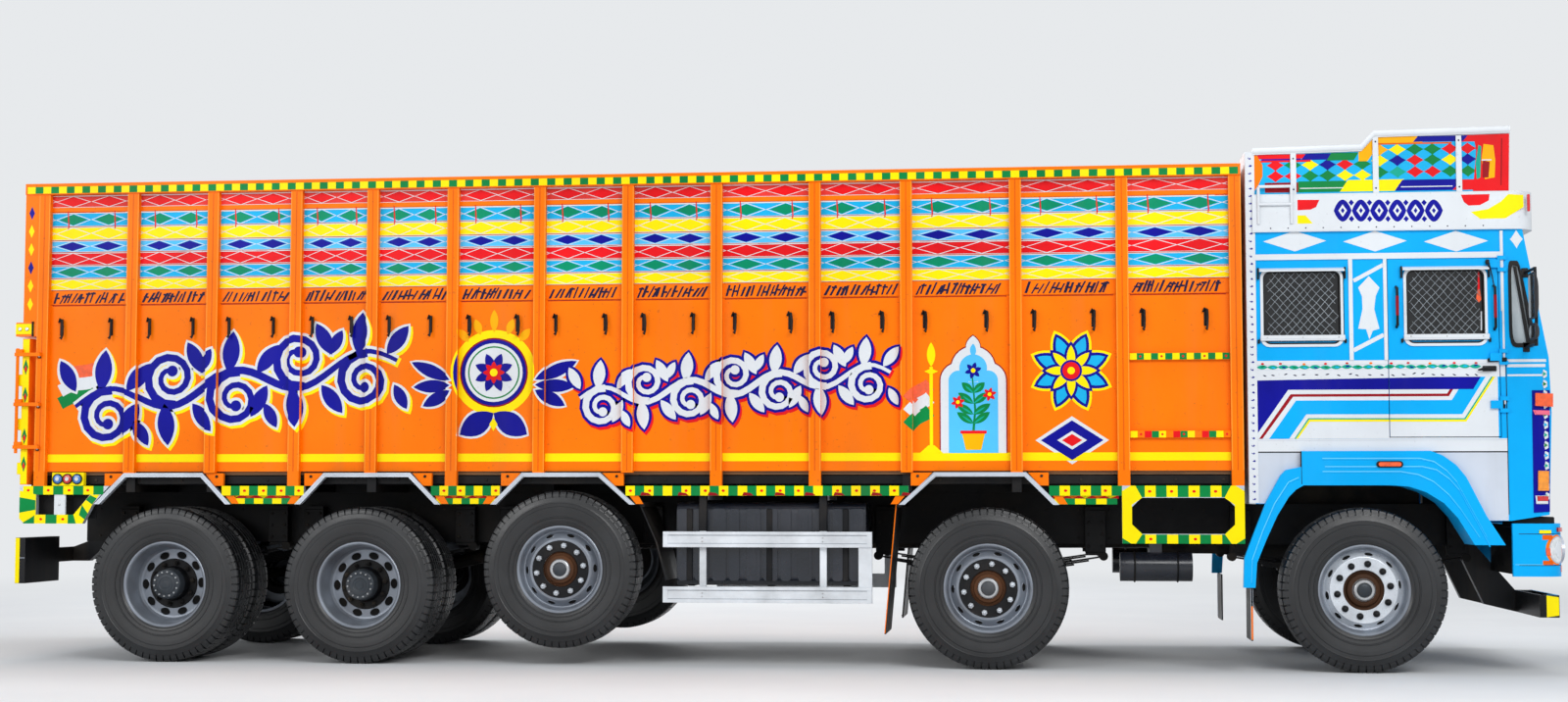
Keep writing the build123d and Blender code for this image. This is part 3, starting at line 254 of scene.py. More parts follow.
FLAP = dusty("flap_rubber_sheet", "141416", 0.42, 0.2, 0, 240, 0.2)
RUBBER = dusty("tyre_compound", "0D0E11", 0.38, 0.08, 0, 130, 0.22, "4E535C", 0.6)
SEAL = dusty("window_seal", "101113", 0.5, 0.08, 0, 200, 0.1)
WIRE = dusty("guard_wire", "9AA1A7", 0.45, 0.1, 0, 200, 0.1)
SILVER = metal("silver_trim", "CDD4DE", 0.3, metallic=0.5)
ALUMINIUM = metal("aluminium_bar", "E4E9EE", 0.34, (22, 1, 1), 0.08, 0.15)
RIM_GREY = metal("rim_grey", "8D949E", 0.34, (6, 6, 6), 0.2, 0.5)
RIM_BRIGHT = metal("rim_bright", "DDE3EA", 0.3, (6, 6, 6), 0.1, 0.45)
STEEL = metal("bolt_steel", "C4C6C8", 0.3, (5, 5, 5), 0.3)
# near-black for holes that are not cut: painted shade of the hollow behind them
HOLE_SHADE = dusty("hole_painted_shade", "070708", 0.8, 0.05)
MIRROR = Finish("mirror_face", Metallic=1.0)
MIRROR.colour(MIRROR.mix(MIRROR.span(MIRROR.noise(6), 0.3, 0.7), "D9DEE2", "E9EDEF"))
MIRROR.gloss(MIRROR.span(MIRROR.noise(9, 5), 0.3, 0.8, 0.02, 0.12))
MIRROR = MIRROR.made
PLASTIC = dusty("cab_plastic_grained", "2A2A2D", 0.55, 0.15, 0, 300, 0.3)
LAMP_WHITE = lens("lamp_white", "E8ECEE", 60)
LAMP_AMBER = lens("lamp_amber", "FF9A10", 90)
LAMP_ORANGE = lens("lamp_orange", "FF5A0C", 90)
LAMP_RED = lens("lamp_red", "D8151A", 90)
LAMP_BLUE = lens("lamp_blue", "2E78C8", 60)


def glazing(name, low, high, clear):
    f = Finish(name, Transmission_Weight=clear, IOR=1.45, Coat_Weight=0.3)
    f.colour(f.mix(f.span(f.noise(2, 4), 0.3, 0.7), low, high))
    f.gloss(f.span(f.noise(14, 6), 0.35, 0.8, 0.02, 0.16))
    return f.made


def end_painted(name, base, low, cell, first, second):
    """Paint whose cells in two colours cover the faces beyond x = low."""
    f = Finish(name, Roughness=0.36, Specular_IOR_Level=0.25)
    spots = f.node("ShaderNodeSeparateXYZ", "X", Vector=f.place)
    beyond = f.span(spots, low, low + 0.0002, 1, 0)
    across = spots.node.outputs["Y"]
    wave = f.node("ShaderNodeMath", "Value", Value=across)
    wave.node.operation = "PINGPONG"
    wave.node.inputs[1].default_value = cell
    cells = f.mix(f.span(wave, cell * 0.49, cell * 0.51), first, second)
    cloud = f.noise(1.4, 5)
    ground = f.mix(f.span(cloud, 0.32, 0.68), shade(base, 0.94), shade(base, 1.04))
    stained = f.mix(f.span(f.noise(5, 6, (1, 1, 0.07)), 0.52, 0.8, 0, 0.15), ground, "7C6A52")
    f.colour(f.mix(beyond, stained, cells))
    f.bump(f.noise(95, 4, (1, 1, 0.5)), 0.1)
    return f.made


def planks():
    f = Finish("worn_planks")
    grain = f.noise(9, 8, (0.35, 9, 9))
    tone = f.mix(f.span(grain, 0.3, 0.7), "5E4128", "9A744B")
    tone = f.mix(f.span(f.noise(2.4, 6), 0.45, 0.8, 0, 0.5), tone, "75695A")
    f.colour(tone)
    f.gloss(f.span(grain, 0.3, 0.7, 0.6, 0.85))
    f.bump(grain, 0.5, 0.004)
    return f.made


def woven(name, code, thread):
    f = Finish(name, Roughness=0.85, Sheen_Weight=0.35)
    across, along = f.waves(thread, "X", 0.3), f.waves(thread, "Y", 0.3)
    weave = f.node("ShaderNodeMath", "Value", Value=across)
    mixer = weave.node
    mixer.operation = "MAXIMUM"
    f.tree.links.new(along, mixer.inputs[1])
    tone = f.mix(f.span(weave, 0.2, 0.9), shade(code, 0.6), code)
    f.colour(f.mix(f.span(f.noise(5, 5), 0.5, 0.8, 0, 0.25), tone, "8C7A66"))
    f.bump(weave, 0.35, 0.0012)
    return f.made


REAR_ORANGE = end_painted("rear_frame_orange", "FF7800", -5.1175, 0.105, "FFE400", "05813F")
UNDERRUN = end_painted("underrun_black", "141518", -5.1175, 0.13, "FFE400", "E2141C")
GLAZING = glazing("glazing", "D4DFE1", "E2EAEA", 0.97)
# near-black side glass: painted shade of the cab's inside seen through it
GLAZING_PAINTED_SHADE = glazing("dark_glazing_painted_shade", "0B0D10", "14181B", 0.35)
PALE_GLAZING = glazing("pale_glazing", "A9B8C0", "DDE6EA", 0.35)
PLANKS = planks()
SEAT_RED = woven("seat_weave", "7E1A22", 260)
SEAT_EDGE = woven("seat_piping", "D9C9A0", 320)


# Shapes
def side_wall(side, y):
    """Upright surface of one flank: (x, z, lift) to a point."""
    return (lambda u, v, h: (u, side * (y + h), v)), side < 0


def stern_wall(x):
    return (lambda u, v, h: (x - h, u, v)), False


def bow_wall(x):
    """Front surface; x is a number or a function of height."""
    return (lambda u, v, h: ((x(v) if callable(x) else x) + h, u, v)), True


def deck(z):
    return (lambda u, v, h: (u, v, z + h)), True


def around(count, phase=0.0):
    """Angles of a full turn in equal steps."""
    return [2 * math.pi * (k + phase) / count for k in range(count)]


def rings(rows, count):
    """Faces between each ring of points and the next."""
    faces = []
    for i in range(rows):
        for k in range(count):
            m = (k + 1) % count
            faces.append((i * count + k, i * count + m, (i + 1) * count + m, (i + 1) * count + k))
    return faces


def ends(rows, count):
    """The two faces that close a tube of rings."""
    return [list(range(count))[::-1], [rows * count + k for k in range(count)]]


def turn_right_way(outline, counter):
    area = sum(a[0] * b[1] - b[0] * a[1] for a, b in zip(outline, [*outline[1:], outline[0]]))
    return list(outline) if (area > 0) == counter else list(reversed(outline))


def outward(points, face, middle):
    a, b, c = (Vector(points[i]) for i in face[:3])
    return list(face) if (b - a).cross(c - a).dot(a - middle) > 0 else list(face)[::-1]


# each coat of paint stands a hair over the one before it, so that no two share a plane
COAT_STEP, COATS = 0.00003, 13


class Build:
    """Collects the faces of one piece. Given a side, its blocks and bars take y as outwards."""

    def __init__(self, name, side=1):
        self.name, self.side, self.coats = name, side, 0
        self.points, self.faces, self.marks, self.finishes = [], [], [], []

    def wall(self, y):
        return side_wall(self.side, y)

    def both_sides(self):
        """Right, then left: y runs outwards on each in turn."""
        for _, self.side in SIDES:
            yield self.side

    def put(self, points, faces, finish):
        if finish not in self.finishes:
            self.finishes.append(finish)
        start, mark = len(self.points), self.finishes.index(finish)
        self.points.extend(points)
        self.faces.extend([[start + i for i in face] for face in faces])
        self.marks.extend([mark] * len(faces))

    def flat(self, wall, outline, lift, finish):
        """A coat of paint: one outline on a wall."""
        place, counter = wall
        loop = turn_right_way(outline, counter)
        self.coats += 1
        lift += COAT_STEP * (self.coats % COATS)
        self.put([place(u, v, lift) for u, v in loop], [range(len(loop))], finish)

    def painter(self, wall):
        """A brush for one wall: takes outline, lift and finish."""
        return lambda outline, lift, finish: self.flat(wall, outline, lift, finish)

    def plate(self, wall, outline, low, high, finish, closed=False):
        """A raised plate with its edges, and its back if it is closed."""
        place, counter = wall
        loop = turn_right_way(outline, counter)
        n = len(loop)
        faces = [range(n)] + [(n + i, n + (i + 1) % n, (i + 1) % n, i) for i in range(n)]
        if closed:
            faces.append(range(2 * n - 1, n - 1, -1))
        self.put([place(u, v, h) for h in (high, low) for u, v in loop], faces, finish)

    def rim(self, wall, outer, inner, low, high, finish):
        """A raised frame between two outlines of equal counts."""
        place, counter = wall
        n = len(outer)
        loops = [turn_right_way(outline, counter) for outline in (outer, inner)]
        faces = []
        for i in range(n):
            j = (i + 1) % n
            faces += [(i, j, n + j, n + i), (2 * n + i, 2 * n + j, j, i),
                      (n + i, n + j, 3 * n + j, 3 * n + i)]
        self.put([place(u, v, h) for h in (high, low) for loop in loops for u, v in loop], faces, finish)

    def brick(self, x, y, z, finish, cut=0.002):
        """A block with its edges taken off."""
        spans = [sorted(x), sorted(self.side * v for v in y), sorted(z)]
        cut = min([cut] + [(high - low) * 0.4 for low, high in spans])
        corners = [(i, j, k) for i in (0, 1) for j in (0, 1) for k in (0, 1)]
        keys = {}
        for corner in corners:
            for face in range(3):
                keys[corner, face] = len(keys)
        points = [[spans[a][corner[a]] + (0 if a == face else cut * (1 - 2 * corner[a])) for a in range(3)]
                  for corner, face in keys]
        faces, loop = [], ((0, 0), (1, 0), (1, 1), (0, 1))
        for axis in range(3):
            a, b = [other for other in range(3) if other != axis]

            def at(along, i, j, face):
                corner = {axis: along, a: i, b: j}
                return keys[(corner[0], corner[1], corner[2]), face]

            faces += [[at(end, i, j, axis) for i, j in loop] for end in (0, 1)]
            faces += [[at(0, i, j, a), at(1, i, j, a), at(1, i, j, b), at(0, i, j, b)] for i, j in loop]
        faces += [[keys[corner, face] for face in range(3)] for corner in corners]
        middle = Vector([sum(span) / 2 for span in spans])
        self.put(points, [outward(points, face, middle) for face in faces], finish)

    def pipe(self, path, radius, finish, sides=8, closed=False):
        """A round bar along a path; its radius may be a list."""
        path = [Vector((x, self.side * y, z)) for x, y, z in path]
        n, points, first = len(path), [], None
        for i, spot in enumerate(path):
            before = path[i - 1] if i or closed else spot
            after = path[(i + 1) % n] if i < n - 1 or closed else spot
            ahead = (after - before).normalized()
            guide = first or Vector((0, 0, 1) if abs(ahead.z) < 0.9 else (1, 0, 0))
            first = (guide - ahead * guide.dot(ahead)).normalized()
            second = ahead.cross(first)
            size = radius[i] if isinstance(radius, list) else radius
            for angle in around(sides):
                points.append(spot + first * size * math.cos(angle) + second * size * math.sin(angle))
        corners = ((0, 1), (1, 1), (1, 0), (0, 0))
        faces = [[(i + di) % n * sides + (k + dk) % sides for di, dk in corners]
                 for i in range(n if closed else n - 1) for k in range(sides)]
        self.put(points, faces if closed else faces + ends(n - 1, sides), finish)

    def turned(self, profile, at, finish, steps=48, turns=None, ripple=None):
        """A turned form about the y axis; profile is (outward distance, radius) pairs.

        Bands may have their own finishes, one for each pair of stations. The angles may be
        given; a ripple is a (sideways, outwards) shift of one point.
        """
        points, turns = [], turns or around(steps)
        for i, (along, radius) in enumerate(profile):
            for k, angle in enumerate(turns):
                shift, rise = ripple(i, k) if ripple else (0, 0)
                r, out = radius + rise, along + shift
                points.append((at[0] + r * math.cos(angle), self.side * (at[1] + out),
                               at[2] + r * math.sin(angle)))
        n = len(turns)
        band = [quad[:: -self.side] for quad in rings(1, n)]
        finishes = finish if isinstance(finish, list) else [finish] * len(profile)
        for i in range(len(profile) - 1):
            self.put(points[i * n : (i + 2) * n], band, finishes[i])

    def stud(self, at, radius, height, finish, sides=6, dome=False, ahead=(0, 1, 0)):
        """A nut, bolt head or rivet that stands on a surface, outwards unless said."""
        at, ahead = (Vector((v[0], self.side * v[1], v[2])) for v in (at, ahead))
        across = ahead.orthogonal().normalized()
        up = ahead.cross(across)
        rows = ((1, 0), (0.92, 0.45), (0.65, 0.85), (0.25, 1)) if dome else ((1, 0), (1, 0.8), (0.8, 1))
        points = []
        for scale, rise in rows:
            for angle in around(sides):
                spoke = across * math.cos(angle) + up * math.sin(angle)
                points.append(at + ahead * height * rise + spoke * radius * scale)
        last = len(rows) - 1
        self.put(points, rings(last, sides) + ends(last, sides)[1:], finish)

    def strap(self, path, half_width, thickness, finish):
        """A flat bar along a path in a plane of constant y."""
        points, last = [], len(path) - 1
        for i, (x, y, z) in enumerate(path):
            before, after = path[max(0, i - 1)], path[min(last, i + 1)]
            run = Vector((after[0] - before[0], 0, after[2] - before[2])).normalized()
            normal = Vector((-run.z, 0, run.x)) * thickness / 2
            for dy, sign in ((-half_width, -1), (half_width, -1), (half_width, 1), (-half_width, 1)):
                points.append(Vector((x, self.side * y + dy, z)) + normal * sign)
        faces = rings(last, 4) + ends(last, 4)
        self.put(points, [face[::-1] for face in faces], finish)

    def done(self, body, slot, stands_for=(), smooth=38):
        """Make the piece, set it on its body and hide the parts it stands for."""
        mesh = bpy.data.meshes.new(self.name)
        mesh.from_pydata([tuple(p) for p in self.points], [], [list(face) for face in self.faces])
        for finish in self.finishes:
            mesh.materials.append(finish)
        mesh.polygons.foreach_set("material_index", self.marks)
        mesh.polygons.foreach_set("use_smooth", [True] * len(self.faces))
        mesh.update()
        mesh.set_sharp_from_angle(angle=math.radians(smooth))
        piece = bpy.data.objects.new(self.name, mesh)
        link(piece)
        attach(piece, body)
        if stands_for:
            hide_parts(*stands_for)
        return piece


def nested(put, make, cu, cv, lift, *coats, step=0.0006):
    """Paints shapes round one centre, each over the last; a coat is sizes and a finish."""
    for level, (*sizes, finish) in enumerate(coats):
        put(make(cu, cv, *sizes), lift + step * level, finish)


def box(u0, u1, v0, v1):
    return [(u0, v0), (u1, v0), (u1, v1), (u0, v1)]


def rounded(u0, u1, v0, v1, radius, steps=5):
    """Rectangle with round corners."""
    points = []
    for cu, cv, start in ((u1 - radius, v1 - radius, 0), (u0 + radius, v1 - radius, 90),
                          (u0 + radius, v0 + radius, 180), (u1 - radius, v0 + radius, 270)):
        for k in range(steps + 1):
            angle = math.radians(start + 90 * k / steps)
            points.append((cu + radius * math.cos(angle), cv + radius * math.sin(angle)))
    return points


def placed(points, cu, cv, turn):
    """Points turned about their origin and moved to (cu, cv)."""
    c, s = math.cos(turn), math.sin(turn)
    return [(cu + a * c - b * s, cv + a * s + b * c) for a, b in points]


def disc(cu, cv, radius, steps=28, squash=1.0, tilt=0.0):
    circle = [(radius * math.cos(angle), radius * squash * math.sin(angle)) for angle in around(steps)]
    return placed(circle, cu, cv, tilt)


def leaf(cu, cv, length, width, angle, grow=0.0, steps=9):
    """Pointed leaf from its base at (cu, cv); grow widens it all round."""
    length, width = length + 2 * grow, width + 2 * grow
    edge = [(k / steps * length - grow, width / 2 * math.sin(math.pi * k / steps) ** 0.8)
            for k in range(steps + 1)]
    edge += [(a, -b) for a, b in edge[-2:0:-1]]
    return placed(edge, cu, cv, math.radians(angle))


def stroke(path, widths):
    """Four-sided pieces along a painted line of changing width."""
    edges = []
    for i, (u, v) in enumerate(path):
        before, after = path[max(0, i - 1)], path[min(len(path) - 1, i + 1)]
        run = Vector((after[0] - before[0], after[1] - before[1])).normalized()
        half = (widths[i] if isinstance(widths, list) else widths) / 2
        edges.append(((u - run.y * half, v + run.x * half), (u + run.y * half, v - run.x * half)))
    return [[a, b, d, c] for (a, b), (c, d) in zip(edges, edges[1:])]


def clip(outline, axis, low, high):
    """The part of a convex outline between two values of one coordinate."""
    for limit, sign in ((low, 1), (high, -1)):
        kept = []
        for a, b in zip(outline, [*outline[1:], outline[0]] if outline else []):
            inside_a, inside_b = (a[axis] - limit) * sign >= 0, (b[axis] - limit) * sign >= 0
            if inside_a:
                kept.append(a)
            if inside_a != inside_b:
                t = (limit - a[axis]) / (b[axis] - a[axis])
                kept.append((a[0] + (b[0] - a[0]) * t, a[1] + (b[1] - a[1]) * t))
        outline = kept
        if len(outline) < 3:
            return []
    return outline


def window(outline, u0, u1, v0, v1):
    """The part of a convex outline inside a rectangle."""
    return clip(clip(outline, 0, u0, u1), 1, v0, v1)


def softened(outline, share, steps=4):
    """An outline with its corners rounded by quadratic curves."""
    points, n = [], len(outline)
    for i, (u, v) in enumerate(outline):
        start, end = [(u + (other[0] - u) * share, v + (other[1] - v) * share)
                      for other in (outline[i - 1], outline[(i + 1) % n])]
        for k in range(steps + 1):
            t = k / steps
            points.append(tuple((1 - t) ** 2 * a + 2 * t * (1 - t) * c + t * t * b
                                for a, c, b in zip(start, (u, v), end)))
    return points


def scaled(outline, middle, wide, tall):
    """An outline made larger or smaller about a point."""
    return [(middle[0] + (u - middle[0]) * wide, middle[1] + (v - middle[1]) * tall) for u, v in outline]


def lozenge(cu, cv, half_u, half_v):
    return [(cu - half_u, cv), (cu, cv - half_v), (cu + half_u, cv), (cu, cv + half_v)]


def thorn(cu, cv, half_u, half_v):
    """A lozenge with hollow sides."""
    points = []
    for angle in around(16):
        c, s = math.cos(angle), math.sin(angle)
        points.append((cu + half_u * math.copysign(abs(c) ** 2.3, c),
                       cv + half_v * math.copysign(abs(s) ** 2.3, s)))
    return points


# The cargo side's own sizes
RUB_RAILS = ((-3.640, -3.070), (-2.196, -1.729), (-0.883, 0.977), (1.882, 2.344))
ARCHES = ((-4.539, -4.329, -3.778, -3.576), (-3.134, -2.934, -2.341, -2.132),
          (-1.793, -1.582, -1.055, -0.819), (0.913, 1.142, 1.735, 1.946))
POSTS = (-4.930, -4.298, -3.731, -3.147, -2.617, -2.064, -1.472, -0.876, -0.284, 0.367, 0.966, 1.675, 2.359,
         3.077)
POST_HALF = 0.039
BAYS = [(a + POST_HALF, b - POST_HALF) for a, b in zip(POSTS, POSTS[1:])]
BOARDS = ((2.418, 2.512), (2.518, 2.594), (2.600, 2.682), (2.688, 2.773),
          (2.779, 2.855), (2.861, 2.950), (2.956, 3.048), (3.056, 3.166))
# painted boards, from the lowest: ground, outline, fill, share of the fill across and up
ROWS = {
    1: (YELLOW, WHITE, YELLOW, 0.90, 0.84),
    2: (CYAN, WHITE, PINE, 0.80, 0.80),
    3: (RED, WHITE, RED, 0.86, 0.84),
    4: (SKY, WHITE, NAVY, 0.80, 0.80),
    5: (YELLOW, WHITE, YELLOW, 0.90, 0.84),
    6: (CYAN, WHITE, PINE, 0.80, 0.80),
    7: (ROSE, WHITE, RED, 0.92, 0.88),
}


def lozenge_row(put, u0, u1, v0, v1, scheme):
    """One painted board: a row of outlined lozenges that meet at their points."""
    ground, outline, fill, across, up = scheme
    put(box(u0, u1, v0, v1), 0.0008, ground)
    pitch = (u1 - u0) * 0.45
    for k in range(-1, 3):
        cu = u0 + (u1 - u0) * 0.27 + k * pitch + dice.uniform(-0.004, 0.004)
        cv = (v0 + v1) / 2 + dice.uniform(-0.002, 0.002)
        for share_u, share_v, lift, finish in ((1.02, 1.0, 0.0014, outline), (0.92, 0.88, 0.0018, ground),
                                               (across, up, 0.0022, fill)):
            part = window(lozenge(cu, cv, pitch / 2 * share_u, (v1 - v0) / 2 * share_v), u0, u1, v0, v1)
            if part:
                put(part, lift, finish)
    put(box(u0, u1, v1 - 0.005, v1), 0.0026, WHITE)
    put(box(u0, u1, v0, v0 + 0.003), 0.0026, WHITE)


def checker(put, u0, u1, v0, v1, cell, first=0):
    """Squares of yellow and green; the yellow ones carry a red dot."""
    count = max(1, round((u1 - u0) / cell))
    step = (u1 - u0) / count
    for k in range(count):
        a = u0 + k * step
        yellow = (k + first) % 2 == 0
        put(box(a, a + step, v0, v1), 0.0008, YELLOW if yellow else GREEN)
        if yellow and v1 - v0 > 0.05 and dice.random() < 0.8:
            put(disc(a + step * dice.uniform(0.4, 0.6), (v0 + v1) / 2, 0.011, 10, 0.8), 0.0014, RED)


def on_side(build, outline, lift, finish):
    """Paint a convex outline across panels and posts alike."""
    strips = [(low, high, PANEL_Y) for low, high in BAYS]
    strips += [(x - POST_HALF, x + POST_HALF, POST_Y) for x in POSTS]
    for low, high, y in strips:
        part = clip(outline, 0, low, high)
        if part:
            build.flat(build.wall(y), part, lift, finish)


def garland(x0, x1, z0, z1, scrolls, size, stem):
    """Painted lines and leaves of a climbing stem, which throws a scroll to each side in turn."""
    steps, turns = 40, 22
    pitch = (x1 - x0) / scrolls
    shares = [k / steps for k in range(steps + 1)]
    path = [(x0 + (x1 - x0) * t, z0 + (z1 - z0) * t + size * 0.30 * math.sin(t * math.pi * scrolls))
            for t in shares]
    items = [("stroke", path, [stem * (0.5 + 0.5 * math.sin(math.pi * t)) for t in shares])]
    for k in range(scrolls):
        t = (k + 0.5) / scrolls
        up = 1 if k % 2 == 0 else -1
        cu, cv = x0 + (x1 - x0) * t, z0 + (z1 - z0) * t - up * size * 0.34
        curl, widths = [], []
        for s in range(turns + 1):
            part = s / turns
            angle = math.radians(80 + 560 * part)
            reach = size * (0.62 - 0.46 * part)
            curl.append((cu + reach * math.cos(angle), cv + up * reach * math.sin(angle)))
            widths.append(stem * (1.15 - 0.55 * part))
        items += [("stroke", curl, widths), ("disc", *curl[-1], stem * 0.72)]
        for share, length, turn in ((-0.50, 0.80, 118), (-0.10, 0.95, 84), (0.34, 0.80, 52)):
            items.append(("leaf", cu + share * pitch, cv + up * size * 0.58, size * length,
                          size * length * 0.42, up * turn))
        items.append(("leaf", cu + pitch * 0.46, cv - up * size * 0.10, size * 0.62, size * 0.27, -up * 62))
    return items


def paint_garland(put, items, layers):
    """layers: (growth, shift in u, shift in v, finish), from the lowest."""
    for level, (grow, du, dv, finish) in enumerate(layers):
        for kind, *args in items:
            if kind == "leaf":
                found = [leaf(*args, grow=grow)]
            elif kind == "disc":
                found = [disc(args[0], args[1], args[2] + grow)]
            else:
                found = stroke(args[0], [width + 2 * grow for width in args[1]])
            for outline in found:
                put([(u + du, v + dv) for u, v in outline], 0.0008 + 0.0006 * level, finish)


# Cargo sides: boards, marks, stripes and rail checks
TOP_STRIP = 0.030
SILL_STRIPE, POST_PAINT = (1.342, 1.395), (1.28, 3.165)


def slanted_marks(put, low, high, bottom):
    """A row of short slanted strokes that spell nothing, over a thin line."""
    reach = high - low
    u = low + 0.03 * reach
    while u < high - 0.10 * reach:
        lean, width = dice.uniform(0.020, 0.045), dice.uniform(0.010, 0.019)
        tall, foot = dice.uniform(0.058, 0.078), bottom + dice.uniform(0.006, 0.012)
        put([(u, foot), (u + width, foot), (u + width + lean, foot + tall), (u + lean, foot + tall)],
            0.0010, INK)
        if dice.random() < 0.4:
            bar = foot + tall * dice.uniform(0.3, 0.9)
            put(box(u + lean * 0.5, u + lean * 0.5 + 0.034, bar - 0.006, bar + 0.006), 0.0016, INK)
        u += dice.uniform(0.024, 0.042)
    put(box(low + 0.02 * reach, high - 0.03 * reach, bottom - 0.010, bottom - 0.005), 0.0010, CRIMSON)


def medal(put, cu, cv):
    """Round flower medal with fans of leaves."""
    for radius, finish in ((0.285, YELLOW), (0.268, NAVY), (0.232, CRIMSON), (0.222, NAVY), (0.196, WHITE),
                           (0.176, GREEN), (0.166, WHITE)):
        put(disc(cu, cv, radius, 40), 0.0010 + 0.008 * (0.29 - radius), finish)
    for k in range(8):
        put(leaf(cu, cv, 0.135, 0.062, 45 * k + 22.5), 0.0040, NAVY)
        put(leaf(cu, cv, 0.075, 0.036, 45 * k), 0.0044, RED)
    put(disc(cu, cv, 0.026, 16), 0.0048, YELLOW)
    for sign in (-1, 1):
        for k, (length, angle) in enumerate(((0.30, 24), (0.26, -2), (0.22, -28))):
            turn = angle if sign > 0 else 180 - angle
            nested(put, leaf, cu + sign * 0.29, cv - 0.05 - 0.035 * k, 0.0010,
                   (length, 0.085, turn, 0.016, WHITE), (length, 0.085, turn, NAVY))
        turn = 270 + sign * 58
        nested(put, leaf, cu, cv - 0.27, 0.0010, (0.27, 0.15, turn, 0.016, WHITE), (0.27, 0.15, turn, NAVY))
    put(lozenge(cu, cv - 0.345, 0.028, 0.045), 0.0022, YELLOW)
    for angle in (50, 70, 90, 110, 130):
        a = math.radians(angle)
        length = 0.15 if angle == 90 else 0.11
        put(leaf(cu + 0.27 * math.cos(a), cv + 0.27 * math.sin(a), length, 0.055, angle), 0.0022, AMBER)


def pennant(put, start, end, wave):
    """Three wavy stripes."""
    (u0, v0), (u1, v1) = start, end
    wide = 0.085
    for stripe, finish in enumerate((LAMP_ORANGE, WHITE, GREEN)):
        path = [(u0 + (u1 - u0) * t, v0 - (v0 - v1) * t - wide * (stripe + 0.5) + wave * math.sin(t * 5))
                for t in [k / 8 for k in range(9)]]
        for quad in stroke(path, wide):
            put(quad, 0.0012, finish)


def spire(put, u, v):
    """A staff with a leaf at its top."""
    for quad in stroke([(u, v), (u, v + 0.56)], 0.022):
        put(quad, 0.0024, YELLOW)
    put(leaf(u, v + 0.56, 0.16, 0.055, 90), 0.0024, YELLOW)
    put(lozenge(u, v + 0.53, 0.045, 0.02), 0.0030, YELLOW)
    put([(u - 0.075, v), (u + 0.075, v), (u + 0.02, v + 0.05), (u - 0.02, v + 0.05)], 0.0024, YELLOW)


def niche(put, cu, base):
    """Arched niche with a flowering plant in a pot."""
    for grow, lift, finish in ((0.030, 0.0010, CRIMSON), (0.022, 0.0014, WHITE), (-0.030, 0.0018, SKY)):
        put(box(cu - 0.19 - grow, cu + 0.19 + grow, base, base + 0.46), lift, finish)
        for du, dv, radius in ((-0.095, 0.47, 0.095), (0.095, 0.47, 0.095), (0, 0.55, 0.12)):
            put(disc(cu + du, base + dv, radius + grow), lift, finish)
        put(leaf(cu, base + 0.62, 0.12 + grow, 0.07 + grow, 90), lift, finish)
    foot, brim = base + 0.02, base + 0.13
    put([(cu - 0.05, foot), (cu + 0.05, foot), (cu + 0.075, brim), (cu - 0.075, brim)], 0.0024, AMBER)
    put(box(cu - 0.085, cu + 0.085, base + 0.125, base + 0.145), 0.0028, RED)
    stem = [(cu, base + 0.14), (cu + 0.012, base + 0.28), (cu - 0.006, base + 0.50)]
    for quad in stroke(stem, [0.016, 0.013, 0.008]):
        put(quad, 0.0026, GREEN)
    for height, reach, angle in ((0.19, 0.13, 35), (0.25, 0.13, 32), (0.32, 0.12, 36), (0.39, 0.10, 42)):
        for turn in (180 - angle, angle):
            nested(put, leaf, cu, base + height, 0.0024, (reach, 0.05, turn, GREEN),
                   (reach * 0.7, 0.012, turn, TEAL))
    for du, dv, size, finish in ((-0.10, 0.33, 0.045, RED), (0.105, 0.38, 0.045, RED),
                                 (0.0, 0.535, 0.055, NAVY)):
        for k in range(6):
            put(leaf(cu + du, base + dv, size, size * 0.5, 60 * k + 15), 0.0034, finish)
        put(disc(cu + du, base + dv, size * 0.28, 12), 0.0040, YELLOW)


def lotus(put, cu, cv):
    for k in range(8):
        turn = 45 * k + 22.5
        nested(put, leaf, cu, cv, 0.0010, (0.27, 0.125, turn, 0.012, YELLOW), (0.26, 0.12, turn, NAVY),
               (0.235, 0.085, turn, CYAN), step=0.0004)
    for k in range(8):
        nested(put, leaf, cu, cv, 0.0022, (0.19, 0.085, 45 * k, NAVY), (0.165, 0.055, 45 * k, YELLOW),
               step=0.0004)
    nested(put, disc, cu, cv, 0.0030, (0.07, NAVY), (0.056, RED), (0.024, 14, YELLOW), step=0.0004)


def rope_hook(hooks, x):
    """Iron hook on its plate, for a tarpaulin's rope."""
    face = PANEL_Y + 0.007
    hooks.brick((x - 0.011, x + 0.011), (PANEL_Y + 0.001, face), (2.205, 2.318), BLACK)
    for z in (2.222, 2.300):
        hooks.stud((x, face, z), 0.007, 0.004, BLACK, 8, True)
    tip = x + dice.uniform(-0.006, 0.006)
    hooks.pipe([(x - 0.018, 1.210, 2.296), (x - 0.006, 1.222, 2.318), (x + 0.008, 1.226, 2.308),
                (tip + 0.010, 1.226, 2.262), (tip + 0.008, 1.228, 2.205),
                (tip + 0.004, 1.236, 2.180), (tip - 0.004, 1.238, 2.190)],
               [0.006, 0.008, 0.009, 0.008, 0.008, 0.008, 0.006], BLACK)


# Skirt: rails and boxes with painted checks, silver arch trims with painted highlights along their crests,
# orange gussets
ARCH_FOOT, ARCH_TOP, SILL_Z = 1.058, 1.268, 1.266
RAIL_BOTTOM, RAIL_TOP = 1.117, 1.181
FRONT_BOX, REAR_BOX_X = (2.344, 3.115, 0.812, RAIL_TOP), -5.064


